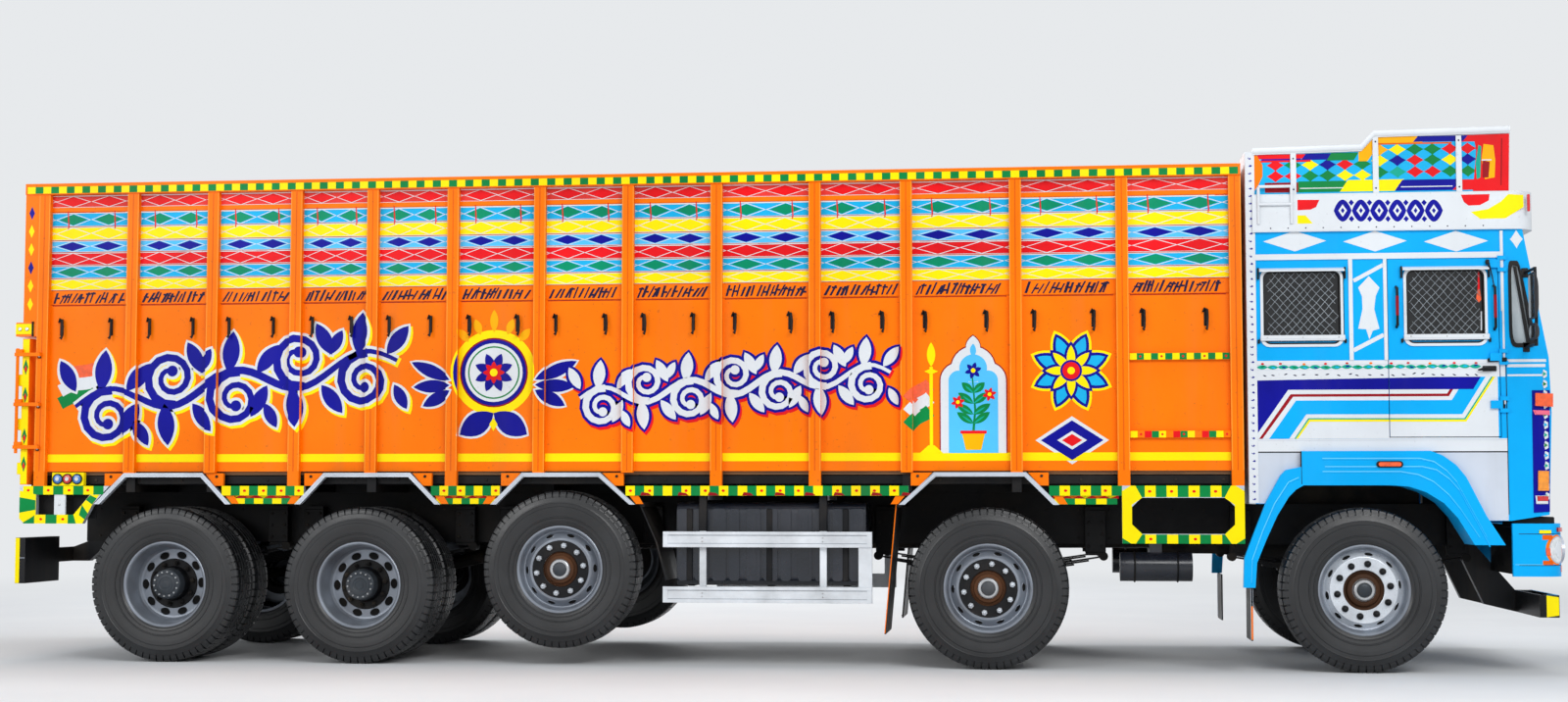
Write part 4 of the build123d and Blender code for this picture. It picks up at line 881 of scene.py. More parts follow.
def arch_leg(skirt, wall, near, far, sign):
    """Sloping leg of the trim from its foot to its top; sign points away from the wheel."""
    gusset_end = far + sign * (abs(far - near) * 0.42 + 0.055)
    gusset = [(far + sign * 0.012, SILL_Z), (gusset_end, SILL_Z), (gusset_end, 1.182),
              (far + sign * abs(far - near) * 0.40, 1.182)]
    skirt.plate(skirt.wall(GUSSET_Y), gusset, -0.030, 0.0, ORANGE)
    skirt.stud((gusset_end - sign * 0.045, GUSSET_Y, 1.244), 0.010, 0.008, CAST)
    foot_corners = ((0.004, 1.062), (0.052, 1.062), (0.020, 1.116), (-0.040, 1.116))
    foot = [(near + sign * du, z) for du, z in foot_corners]
    skirt.plate(skirt.wall(ARCH_LEG_Y), foot, -0.012, 0.0, ORANGE)
    inward = -sign * 0.0392
    outline = [(near, ARCH_FOOT), (far, ARCH_TOP), (far + inward * 0.3, ARCH_TOP - 0.028),
               (near + inward, ARCH_FOOT)]
    skirt.plate(wall, outline, -0.040, 0.002, SILVER)
    # pale strip along the trim's crest: painted highlight
    crest_highlight = [(near + inward * 0.35, ARCH_FOOT), (far + inward * 0.1, ARCH_TOP - 0.010),
             (far + inward * 0.18, ARCH_TOP - 0.018), (near + inward * 0.6, ARCH_FOOT)]
    skirt.flat(wall, crest_highlight, 0.0026, PALE)


def rub_rail(skirt, put, low, high, first):
    checker(put, low, high, RAIL_BOTTOM, RAIL_TOP, 0.062, first)
    if high - low > 1:
        for k in range(9):
            u = low + 0.12 + 0.21 * k + dice.uniform(-0.03, 0.03)
            put([(u, 1.118), (u + 0.075, 1.118), (u + 0.055, 1.134), (u + 0.01, 1.140)], 0.0016, CRIMSON)
        return
    # short spans have a second rail below, with red scallops between the two
    scallops = skirt.wall(SCALLOP_Y)
    skirt.plate(scallops, box(low + 0.02, high - 0.02, 1.098, 1.119), -0.02, 0.0, RED)
    for k in range(5):
        u = low + 0.03 + (k + 0.5) * (high - low - 0.06) / 5
        skirt.flat(scallops, [(u - 0.04, 1.118), (u, 1.100), (u + 0.04, 1.118)], 0.0008,
                   (YELLOW, ORANGE)[k % 2])
    skirt.brick((low + 0.03, high - 0.03), (1.205, RUB_RAIL_Y), (1.060, 1.100), GREEN, 0.003)
    lower = skirt.painter(skirt.wall(RUB_RAIL_Y))
    checker(lower, low + 0.03, high - 0.03, 1.062, 1.098, 0.062, first + 1)


def front_box(put, u0, u1, v0, v1):
    for low, high in ((1.108, v1), (v0, 0.870)):
        checker(put, u0 + 0.075, u1 - 0.075, low, high, 0.068, 1)
    for near, sign in ((u0, 1), (u1, -1)):
        for lift, finish, points in (
            (0.0008, YELLOW, [(0, v0 + 0.03), (0.062, v0 + 0.085), (0.062, v1 - 0.095), (0, v1 - 0.03)]),
            (0.0010, GREEN, [(0, v0), (0.075, v0), (0.128, v0 + 0.062), (0.062, v0 + 0.120),
                             (0, v0 + 0.03)]),
            (0.0014, YELLOW, [(0, v0 + 0.035), (0.055, v0), (0.085, v0), (0.126, v0 + 0.060),
                              (0.062, v0 + 0.122)]),
            (0.0014, YELLOW, [(0, v1 - 0.035), (0.062, v1 - 0.122), (0.126, v1 - 0.077), (0.085, v1),
                              (0.055, v1)]),
        ):
            put([(near + sign * u, v) for u, v in points], lift, finish)


def rear_box(skirt, put):
    """Checks and corners of the slanted box, its dark back and its white bracket."""
    checker(put, -5.040, -4.470, 1.123, RAIL_TOP, 0.074, 0)
    checker(put, -5.036, -4.640, 0.927, 0.987, 0.082, 1)
    x = REAR_BOX_X
    for finish, outline in (
        (YELLOW, [(x, 0.962), (-5.036, 0.934), (-4.947, 0.987), (-4.947, 1.123), (x, 1.150)]),
        (GREEN, [(x, 1.00), (-4.950, 1.02), (-4.950, 1.085), (x, 1.105)]),
        (YELLOW, [(-4.660, 0.927), (-4.615, 0.927), (-4.545, 1.058), (-4.498, 1.122), (-4.562, 1.122),
                  (-4.679, 0.987)]),
        (GREEN, [(-4.640, 0.985), (-4.600, 0.956), (-4.578, 0.996), (-4.620, 1.054)]),
        (GREEN, [(-4.592, 1.087), (-4.548, 1.056), (-4.516, 1.098), (-4.562, 1.120)]),
    ):
        put(outline, 0.0020, finish)
    skirt.brick((-5.030, -4.560), (1.140, 1.150), (0.960, 1.190), CHASSIS)
    skirt.brick((-4.822, -4.742), (1.222, 1.240), (0.975, 1.126), WHITE, 0.003)
    skirt.stud((-4.782, 1.240, 1.055), 0.008, 0.005, STEEL)


for side_name, side in SIDES:
    post_wall = side_wall(side, POST_Y)
    art = Build(f"board_painting_{side_name}", side)
    put = art.painter(side_wall(side, PANEL_Y))
    for low, high in BAYS:
        for row, scheme in ROWS.items():
            v0, v1 = BOARDS[row]
            if row == 7:
                put(box(low, high, v0, v0 + TOP_STRIP), 0.0008, ORANGE)
                v0 += TOP_STRIP
            lozenge_row(put, low, high, v0, v1, scheme)
        slanted_marks(put, low, high, BOARDS[0][0])
        put(box(low, high, *SILL_STRIPE), 0.0010, YELLOW)
        for share in (0.2, 0.8):
            u = low + share * (high - low)
            for quad in stroke([(u, 3.060), (u + 0.006, 2.956), (u + 0.002, 2.935)], [0.007, 0.009, 0.005]):
                put(quad, 0.0030, RED)
    put = art.painter(post_wall)
    for x in POSTS:
        # lighter strips down each post's edges are painted highlights
        for low, high in ((-POST_HALF, 0.007 - POST_HALF), (POST_HALF - 0.007, POST_HALF)):
            put(box(x + low, x + high, *POST_PAINT), 0.0006, ORANGE_PAINTED_HIGHLIGHT)
        put(box(x - 0.0035, x + 0.0035, *POST_PAINT), 0.0006, ORANGE_DEEP)
    checker(art.painter(side_wall(side, TOP_RAIL_Y)), -5.05, 3.10, 3.178, 3.224, 0.056)
    art.done("truck", "body_paint")

    motifs = Build(f"flank_ornament_{side_name}", side)
    put = partial(on_side, motifs)
    paint_garland(put, garland(-4.70, -2.45, 1.72, 2.02, 5, 0.30, 0.052),
                  ((0.020, 0.016, -0.018, YELLOW), (0.020, 0, 0, WHITE), (0.0, 0, 0, NAVY)))
    paint_garland(put, garland(-1.20, 0.86, 1.76, 1.92, 7, 0.205, 0.042),
                  ((0.020, 0.012, -0.018, RED), (0.020, 0, 0, NAVY), (0.0, 0, 0, WHITE)))
    medal(put, *seen(*MEDAL_AT))
    for start, end, wave in PENNANTS:
        pennant(put, seen(*start), seen(*end), wave)
    spire(put, *seen(*SPIRE_AT))
    niche(put, *seen(*NICHE_AT))
    lotus(put, *seen(*LOTUS_AT))
    nested(put, lozenge, *seen(*PLAQUE_AT), 0.0010, (0.235, 0.155, WHITE), (0.200, 0.128, NAVY),
           (0.095, 0.060, WHITE), (0.065, 0.040, RED))
    motifs.done("truck", "body_paint")

    hooks = Build(f"rope_hooks_{side_name}", side)
    for low, high in BAYS:
        for share in (0.14, 0.77):
            rope_hook(hooks, low + share * (high - low) + dice.uniform(-0.012, 0.012))
    hooks.done("truck", "chassis_paint")

    skirt = Build(f"skirt_painting_{side_name}", side)
    put = skirt.painter(post_wall)
    for first, (low, high) in enumerate(RUB_RAILS):
        rub_rail(skirt, put, low, high, first)
    for rear_foot, rear_top, front_top, front_foot in ARCHES:
        arch_leg(skirt, post_wall, rear_foot, rear_top, -1)
        edges = [[(rear_top + du, ARCH_TOP + dz), (front_top - du, ARCH_TOP + dz)]
                 for du, dz in ((0, 0), (0.012, -0.028), (0.006, -0.010), (0.008, -0.016))]
        skirt.plate(post_wall, edges[0] + edges[1][::-1], -0.040, 0.002, SILVER)
        # pale strip along the top trim's crest: painted highlight
        put(edges[2] + edges[3][::-1], 0.0026, PALE)
        arch_leg(skirt, post_wall, front_foot, front_top, 1)
    front_box(put, *FRONT_BOX)
    rear_box(skirt, put)
    skirt.done("truck", "checker_paint")

    # dark raves close the gap under the sill
    rave = Build(f"side_rave_{side_name}", side)
    rave.brick((-4.96, 3.05), (1.128, 1.168), (1.190, 1.252), CHASSIS, 0.006)
    rave.brick((-4.93, 3.05), (0.425, 0.435), (1.135, 1.250), CHASSIS)
    for k in range(27):
        rave.stud((-4.86 + 0.302 * k, 1.168, 1.221), 0.010, 0.007, CAST)
    rave.done("truck", "chassis_paint")

    lamp = Build(f"side_lamps_{side_name}", side)
    lamp.brick((-4.838, -4.613), (PANEL_Y, POST_Y), (1.182, 1.272), YELLOW, 0.003)
    for u, glass in ((-4.795, LAMP_BLUE), (-4.726, LAMP_RED), (-4.657, LAMP_BLUE)):
        at = (u, POST_Y, 1.228)
        lamp.turned([(0.000, 0.036), (0.008, 0.036), (0.010, 0.031)], at, BLACK, 24)
        lamp.turned([(0.007, 0.0305), (0.013, 0.025), (0.0155, 0.013), (0.016, 0.0006)], at,
                    [glass, glass, LAMP_WHITE], 24)
    lamp.done("truck", "lamp_lens")

    rungs = Build(f"climbing_rungs_{side_name}", side)
    put = rungs.painter(side_wall(side, RUNG_Y))
    for z, colours in ((2.010, (YELLOW, GREEN)), (1.510, (YELLOW, ORANGE, RED, GREEN))):
        rungs.brick((2.398, 3.038), (1.203, RUNG_Y), (z - 0.024, z + 0.024), ORANGE, 0.004)
        for k in range(14):
            u0 = 2.402 + k * 0.0452
            put(box(u0, u0 + 0.0452, z - 0.021, z + 0.021), 0.0008, colours[k % len(colours)])
            if k % 3 == 1:
                put(disc(u0 + 0.022, z, 0.008, 8), 0.0014, RED)
    rungs.done("truck", "checker_paint")

# Rear: boards, doors and beam
STERN_X, DOOR_RIB_X, TAIL_X = -5.066, -5.088, -5.1175
DOOR_RIBS = (1.3, 1.6, 1.9)
stern = Build("stern_painting")
put = stern.painter(stern_wall(DOOR_FACE_X))
for low, high in ((-1.16, -0.43), (-0.35, 0.35), (0.43, 1.16)):
    for row, scheme in ROWS.items():
        lozenge_row(put, low, high, *BOARDS[row], scheme)
checker(stern.painter(stern_wall(STERN_X)), -1.165, 1.165, 3.178, 3.236, 0.056)
for side in stern.both_sides():
    corner = stern.wall(POST_Y)
    stern.flat(corner, box(-5.062, -4.973, 2.30, 3.168), 0.0008, ORANGE)
    for k in range(6):
        stern.flat(corner, lozenge(-5.02, 2.42 + 0.125 * k, 0.020, 0.045), 0.0016,
                   (YELLOW, YELLOW, NAVY)[k % 3])
    stern.plate(corner, box(TAIL_X, -4.99, 2.215, 2.285), 0.0, 0.004, YELLOW)
    for u in (-5.085, -5.035):
        stern.stud((u, 1.249, 2.25), 0.013, 0.010, STEEL)
stern.done("truck", "body_paint")

for side_name, side in SIDES:
    door = Build(f"rear_door_painting_{side_name}", side)
    put = door.painter(stern_wall(STERN_X))
    u0, u1 = sorted((side * 0.02, side * 1.235))
    for v0, v1, finish in ((1.195, 1.245, RED), (1.36, 1.54, ORANGE), (1.66, 1.84, ORANGE),
                           (1.96, 2.02, GREEN),
                           (2.02, 2.175, YELLOW)):
        put(box(u0, u1, v0, v1), 0.0008, finish)
    for cv in (1.45, 1.75):
        for k in range(5):
            nested(put, lozenge, u0 + (u1 - u0) * (k + 0.5) / 5, cv, 0.0014, (0.115, 0.082, WHITE),
                   (0.098, 0.068, (NAVY, GREEN, RED)[k % 3]), (0.042, 0.028, YELLOW))
    for k in range(9):
        for turn in (40, 90, 140):
            put(leaf(u0 + (u1 - u0) * (k + 0.5) / 9, 2.045, 0.105, 0.04, turn), 0.0016, (RED, NAVY)[k % 2])
    v0, v1 = sorted((side * 0.04, side * 1.245))
    for z in DOOR_RIBS:
        checker(door.painter(stern_wall(DOOR_RIB_X)), v0, v1, z - 0.036, z + 0.036, 0.086)
    # edge seen from the side: yellow with small lozenges
    put = door.painter(side_wall(side, POST_Y))
    put(box(-5.064, -5.018, 1.195, 2.18), 0.0008, YELLOW)
    for z in DOOR_RIBS:
        door.plate(side_wall(side, DOOR_POST_Y), box(DOOR_RIB_X, -5.064, z - 0.038, z + 0.038), -0.001,
                   0.0015, YELLOW)
    for cv in (1.33, 1.52, 1.80, 1.99):
        put(lozenge(-5.041, cv, 0.018, 0.055), 0.0014, GREEN)
        put(lozenge(-5.041, cv - 0.012, 0.009, 0.026), 0.0020, RED)
    # boards on the inner side
    board = box(*sorted((side * 0.035, side * 1.115)), 0, 0.168)
    for k in range(5):
        v0 = 1.305 + 0.172 * k
        door.plate(bow_wall(DOOR_BACK_X), placed(board, 0, v0, 0), -0.001, 0.005,
                   (ORANGE_DEEP, ORANGE)[k % 2])
        for u in (0.10, 0.56, 1.05):
            door.stud((-5.023, u, v0 + 0.084), 0.011, 0.004, CAST, 8, True, ahead=(1, 0, 0))
    # bolt with its handle and staples, nuts along the ribs
    door.pipe([(-5.103, 0.10, 1.75), (-5.103, 0.10, 2.16)], 0.009, STEEL, 10)
    for z in (1.80, 2.10):
        door.brick((-5.104, STERN_X), (0.080, 0.120), (z - 0.012, z + 0.012), BLACK, 0.003)
    door.pipe([(-5.103, 0.10, 1.76), (-5.106, 0.18, 1.74)], 0.008, STEEL)
    for z in DOOR_RIBS:
        for k in range(6):
            door.stud((DOOR_RIB_X, 0.14 + 0.2 * k, z + 0.026), 0.008, 0.006, STEEL, ahead=(-1, 0, 0))
    door.done(f"rear_door_{side_name}", "body_paint")

# Latches of the hinge rods beside the rear corners
rods = Build("corner_rods")
for side in rods.both_sides():
    rods.pipe([(-4.995, 1.252, 2.20), (-4.995, 1.252, 2.30)], 0.007, BLACK)
    for z in (1.445, 1.735, 2.075):
        rods.brick((-4.954, -4.932), (1.246, 1.258), (z - 0.026, z + 0.014), RUST, 0.004)
        rods.stud((-4.943, 1.256, z - 0.012), 0.009, 0.006, STEEL, 8, True)
rods.done("truck", "chassis_paint")


# Wheels
WHEEL_Y, INNER_WHEEL_Y = 1.0775, 0.7525
LUGS = 64
LUG_EDGES = (0.0, 0.10, 0.15, 0.95)  # notch floor, its end, top of the block, its end
# half sections from the bead outwards: (distance from the tyre's middle, radius)
SIDEWALL = [(0.1215, 0.286), (0.1300, 0.300), (0.1325, 0.309), (0.1362, 0.311), (0.1366, 0.316),
            (0.1335, 0.318),
            (0.1362, 0.338), (0.1408, 0.3405), (0.1412, 0.346), (0.1376, 0.349), (0.1412, 0.385),
            (0.1424, 0.405),
            (0.1424, 0.411), (0.1392, 0.414), (0.1400, 0.436), (0.1420, 0.439), (0.1385, 0.448),
            (0.135, 0.462),
            (0.1325, 0.474)]
SHOULDER = [(0.1300, 0.480), (0.1265, 0.498), (0.1210, 0.510), (0.112, 0.5165)]
CROWN = [(0.080, 0.5195), (0.078, 0.508), (0.068, 0.508), (0.066, 0.5198), (0.030, 0.5200), (0.028, 0.508),
         (0.018, 0.508), (0.016, 0.5200)]
NOTCHES = ((0.004, 0.002), (0.008, 0.004), (0.009, 0.008),
           (0.004, 0.011))  # inward and down, at the shoulder
FLANGE = [(0.110, 0.290), (0.122, 0.289), (0.125, 0.284), (0.125, 0.278), (0.117, 0.270)]


def tyre(build, at):
    half = SIDEWALL + SHOULDER + CROWN
    profile = half + [(-a, r) for a, r in reversed(half)]
    last, first = len(profile) - 1, len(SIDEWALL)
    edge = first + len(SHOULDER)

    def ripple(i, k):
        j = min(i, last - i)
        if k % 4 < 2 and first <= j < edge:
            inward, down = NOTCHES[j - first]
            return (-inward if i < last / 2 else inward), -down
        if k % 4 < 2 and j in (edge, edge + 3, edge + 4) and k // 4 % 2 == (j == edge + 3):
            return 0.0, -0.008
        return 0.0, 0.0

    turns = [2 * math.pi * (k + share) / LUGS for k in range(LUGS) for share in LUG_EDGES]
    build.turned(profile, at, RUBBER, turns=turns, ripple=ripple)


def nuts(build, at, count, circle, along, size, height, finish, cap=False, phase=0.25):
    for angle in around(count, phase):
        x, z = at[0] + circle * math.cos(angle), at[2] + circle * math.sin(angle)
        build.stud((x, at[1] + along, z), size, height, finish, 14 if cap else 6, cap)
        if not cap:
            build.stud((x, at[1] + along + height, z), size * 0.55, height * 0.5, finish, 8, True)


def hand_holes(build, at, count, circle, along, long, wide, slope, lip, phase):
    """Dark ovals on the disc, following its slope, each inside a raised lip; the holes are not cut, and
    their dark is painted shade.
    """
    steps = 18
    for angle in around(count, phase):
        for edges, finish in ((((1.16, 0.0), (1.0, 0.0022)), lip), (((1.0, 0.0022), (0.88, 0.0010)), HOLE_SHADE)):
            points = []
            for share, rise in edges:
                for turn in around(steps):
                    t, r = long * share * math.cos(turn), wide * share * math.sin(turn)
                    swing, radius = angle + t / circle, circle + r
                    y = build.side * (at[1] + along + rise - r * slope)
                    points.append((at[0] + radius * math.cos(swing), y, at[2] + radius * math.sin(swing)))
            faces = rings(1, steps) + (ends(1, steps)[1:] if finish is HOLE_SHADE else [])
            build.put(points, [face[:: build.side] for face in faces], finish)


def single_rim(build, at, steered):
    """Raised disc: bright ring and black nuts in front, black ring and silver nuts on axles 2 and 3."""
    shine = RIM_BRIGHT if steered else RIM_GREY
    sections = [
        ([(-0.125, 0.288), (-0.118, 0.270), (-0.06, 0.262), (0.05, 0.262), (0.052, 0.250)], RIM_GREY, 72),
        (FLANGE + [(0.100, 0.266), (0.066, 0.259), (0.058, 0.253), (0.056, 0.247)], RIM_GREY, 96),
        ([(0.056, 0.247), (0.060, 0.241), (0.086, 0.213)], shine, 96),
    ]
    if steered:
        sections += [
            ([(0.086, 0.213), (0.094, 0.2115), (0.0955, 0.208), (0.0955, 0.132), (0.093, 0.128)], shine,
             96),
            ([(0.093, 0.128), (0.070, 0.125), (0.068, 0.110), (0.090, 0.100), (0.098, 0.086),
              (0.098, 0.070)], RUST, 64),
        ]
    else:
        sections += [
            ([(0.086, 0.213), (0.092, 0.205), (0.093, 0.190)], shine, 96),
            ([(0.093, 0.190), (0.098, 0.187), (0.098, 0.120), (0.094, 0.115)], BLACK, 96),
            ([(0.094, 0.115), (0.080, 0.110), (0.084, 0.098), (0.104, 0.090), (0.106, 0.070)], RUST, 64),
        ]
    for profile, finish, steps in sections:
        build.turned(profile, at, finish, steps)
    if steered:
        nuts(build, at, 10, 0.167, 0.0955, 0.0225, 0.030, BLACK, True)
        hand_holes(build, at, 10, 0.2285, 0.0716, 0.027, 0.0095, 0.93, shine, 0.25)
    else:
        nuts(build, at, 10, 0.158, 0.098, 0.0195, 0.024, RIM_BRIGHT)
        hand_holes(build, at, 10, 0.2285, 0.0716, 0.026, 0.0105, 0.93, shine, 0.05)
    build.turned([(0.098, 0.074), (0.108, 0.068), (0.120, 0.064), (0.124, 0.058), (0.124, 0.048),
                  (0.118, 0.044)],
                 at, STEEL, 64)
    build.turned([(0.118, 0.046), (0.122, 0.040), (0.126, 0.026), (0.128, 0.012), (0.128, 0.0005)], at,
                 DARK_GREY)


def twin_rim(build, at):
    """Deep dish with large hand holes round a dark hub."""
    barrel = [(-0.125, 0.288), (-0.118, 0.268), (0.112, 0.268), (0.125, 0.284), (0.110, 0.290)]
    hub = [(0.030, 0.106), (0.086, 0.099), (0.094, 0.096), (0.098, 0.090), (0.098, 0.070), (0.102, 0.066),
           (0.104, 0.048), (0.101, 0.044), (0.101, 0.030), (0.104, 0.027), (0.104, 0.0005)]
    for profile, finish, steps in (
        (barrel, RIM_GREY, 72),
        ([(along + INNER_WHEEL_Y - WHEEL_Y, radius) for along, radius in barrel], RIM_GREY, 72),
        (FLANGE + [(0.100, 0.264), (0.050, 0.257), (-0.010, 0.250), (-0.026, 0.243)], RIM_GREY, 96),
        ([(-0.026, 0.243), (-0.036, 0.232), (-0.038, 0.220), (-0.038, 0.168)], RIM_GREY, 96),
        ([(-0.038, 0.168), (-0.030, 0.164), (-0.030, 0.118), (-0.014, 0.112), (0.030, 0.106)], CHASSIS, 96),
        (hub, DARK_GREY, 64),
    ):
        build.turned(profile, at, finish, steps)
    nuts(build, at, 10, 0.140, -0.030, 0.0165, 0.026, CAST)
    nuts(build, at, 10, 0.140, -0.002, 0.0060, 0.006, STEEL, True)
    nuts(build, at, 14, 0.0815, 0.098, 0.0070, 0.008, STEEL)
    hand_holes(build, at, 10, 0.197, -0.0375, 0.034, 0.023, 0.0, RIM_GREY, 0.05)


AXLES = ((1, 3.856, 0.520), (2, 1.486, 0.520), (3, -1.332, 0.631), (4, -2.699, 0.520), (5, -4.047, 0.520))
for number, x, z in AXLES:
    for side_name, side in SIDES:
        place = f"{number}_{side_name}"
        at, twin = (x, WHEEL_Y, z), number > 3
        rubber = Build(f"treaded_tyre_{place}", side)
        tyre(rubber, at)
        if twin:
            tyre(rubber, (x, INNER_WHEEL_Y, z))
        rubber.done(f"wheel_{place}", "tyre_rubber", [f"tyre_{place}"])
        wheel = Build(f"wheel_disc_{place}", side)
        if twin:
            twin_rim(wheel, at)
        else:
            single_rim(wheel, at, number == 1)
        wheel.done(f"wheel_{place}", "rim_paint", [f"rim_{place}"])

# Springs: separate leaves, bolts and shackles; bolts on the hangers and along the frame
# axle x, half length, eye and pack height
SPRINGS = ((3.856, 0.760, 0.715, 0.560), (1.486, 0.760, 0.715, 0.560), (-1.332, 0.560, 0.790, 0.705),
           (-2.699, 0.600, 0.770, 0.610), (-4.047, 0.600, 0.770, 0.610))
SPRING_Y, CLAMP = 0.475, 0.047


def leaf_pack(springs, x, half, eye, pack):
    for k in range(6):
        path = []
        for s in range(-8, 9):
            u = s / 8 * half * (1 - 0.13 * k)
            rise = (eye - pack - 0.070) * (abs(u) / half) ** 1.5
            path.append((x + u, SPRING_Y, pack + 0.062 - 0.0115 * k + rise * (1 - 0.02 * k)))
        springs.strap(path, 0.038, 0.0095, CHASSIS)
    for u in (x - 0.07, x + 0.07):
        inner, outer = SPRING_Y - CLAMP, SPRING_Y + CLAMP
        for y in (inner, outer):
            springs.pipe([(u, y, pack + 0.115), (u, y, pack - 0.010)], 0.009, CAST)
        springs.pipe([(u, inner, pack + 0.078), (u, outer, pack + 0.078)], 0.009, CAST)
        for y in (inner, outer):
            springs.stud((u, y, pack - 0.004), 0.014, 0.014, STEEL, ahead=(0, 0, -1))
    springs.brick((x - 0.10, x + 0.10), (SPRING_Y - 0.042, SPRING_Y + 0.042), (pack + 0.064, pack + 0.078),
                  CAST, 0.003)
    for end in (x - half, x + half):
        springs.turned([(-0.043, 0.001), (-0.043, 0.030), (0.043, 0.030), (0.043, 0.001)],
                       (end, SPRING_Y, eye - 0.006), CAST, 16)


def hanger_bolts(bolts, x, half, eye):
    for hx in (x - half + 0.055, x + half - 0.055):
        bolts.brick((hx - 0.070, hx + 0.070), (0.515, 0.523), (eye + 0.02, 1.02), CHASSIS, 0.006)
        for dx in (-0.045, 0.045):
            for dz in (0.06, 0.14, 0.22):
                if eye + dz < 1.01:
                    bolts.stud((hx + dx, 0.523, eye + dz), 0.011, 0.009, CAST)


springs, bolts = Build("leaf_packs"), Build("frame_bolts")
for x, half, eye, pack in SPRINGS:
    for side in springs.both_sides():
        leaf_pack(springs, x, half, eye, pack)
springs.done("truck", "chassis_paint", ["leaf_springs"])
for x, half, eye, pack in SPRINGS:
    for side in bolts.both_sides():
        hanger_bolts(bolts, x, half, eye)
for side in bolts.both_sides():
    for k in range(46):
        for z in (0.83, 1.02):
            bolts.stud((-4.85 + k * 0.21, 0.430, z), 0.009, 0.006, CAST)
bolts.done("truck", "chassis_paint")

# Fuel tank: pressed ribs and straps; bands of the air tanks
tank = Build("tank_fittings", -1)
wall = side_wall(-1, 1.150)
for k in range(11):
    u0 = -0.555 + k * 0.1135
    u1 = u0 + (0.092 if k % 3 else 0.066)
    tank.plate(wall, rounded(u0 + 0.008, u1 + 0.008, 0.560, 1.030, 0.018, 3), -0.002, 0.009, TANK)
    if k % 3 == 1:
        tank.plate(wall, rounded(u0 + 0.030, u0 + 0.074, 0.600, 0.990, 0.014, 3), 0.008, 0.012, TANK)
for x in (-0.470, 0.060, 0.560):
    tank.brick((x - 0.020, x + 0.020), (1.146, 1.163), (0.560, 1.030), BLACK, 0.004)
    for low, high in ((1.069, 1.077), (0.521, 0.530)):
        tank.brick((x - 0.022, x + 0.022), (0.66, 1.085), (low, high), BLACK, 0.003)
for side in tank.both_sides():
    for x in (2.44, 2.72):
        band = [(x, 0.740 + side * 0.098 * math.cos(angle), 0.648 + 0.098 * math.sin(angle))
                for angle in around(24)]
        tank.pipe(band, 0.006, CHASSIS, 6, closed=True)
tank.done("truck", "tank_coating")

# Side guards: folds along the bars, end caps, dark sleeves over the posts' tops
GUARD_BARS, GUARD_POSTS, GUARD_Y = ((0.419, 0.523), (0.780, 0.882)), (-0.376, 0.417), 1.226
grooves = Build("guard_grooves")
for side in grooves.both_sides():
    wall = grooves.wall(GUARD_Y)
    for v0, v1 in GUARD_BARS:
        for low, high in ((v1 - 0.020, v1 - 0.001), (v0 + 0.001, v0 + 0.020)):
            grooves.plate(wall, box(-0.634, 0.735, low, high), 0.0, 0.008, ALUMINIUM)
        for v in (v0 + 0.024, v1 - 0.026):
            grooves.flat(wall, box(-0.62, 0.72, v, v + 0.0025), 0.0010, RIM_GREY)
        for x in (-0.634, 0.705):
            grooves.plate(wall, box(x, x + 0.030, v0 + 0.020, v1 - 0.020), 0.0, 0.004, ALUMINIUM)
        for x in GUARD_POSTS:
            for dz in (-0.012, 0.012):
                grooves.stud((x, GUARD_Y, (v0 + v1) / 2 + dz), 0.006, 0.004, STEEL)
    for x in GUARD_POSTS:
        grooves.brick((x - 0.026, x + 0.026), (1.160, 1.202), (0.886, 1.150), BLACK, 0.004)
grooves.done("truck", "bare_aluminium")

# Flaps: folded edges, and creases of the sheets behind axle 2
flaps = Build("flap_edges")
for side in flaps.both_sides():
    flaps.brick((3.140, 3.156), (1.268, FENDER_Y), (0.206, 0.53), SILVER)
    flaps.flat(side_wall(side, FENDER_Y), box(3.1425, 3.1535, 0.21, 0.42), 0.0006, ORANGE)
    edge = [(0.891, 1.066), (0.897, 1.066), (0.820, 0.226), (0.814, 0.226)]
    flaps.plate(side_wall(side, FLAP_Y), edge, -0.010, 0.0015, ORANGE)
    for k in range(3):
        x, z = 0.808 + k * 0.0245, 0.232 + 0.26 * k
        flaps.pipe([(x, 0.74 + 0.12 * k, z), (x + 0.004, 1.10 - 0.02 * k, z + 0.008)], 0.004, FLAP, 6)
flaps.done("truck", "flap_rubber")


# Cab flanks
DOOR = (4.026, 4.706, 1.489, 2.637)
DOOR_GAP = 0.005
FLANK_BACK, FLANK_FRONT, SCREEN_EDGE = 3.204, 4.742, 4.740
SKIRT_Z, SILL_TOP, BELT_Z, BELT_TOP = 1.202, 1.478, 1.866, 1.975
QUARTER = [(4.784, 2.577), (4.784, 2.070), (4.912, 2.070), (4.836, 2.577)]
WINDOW_Z = (2.097, 2.540)
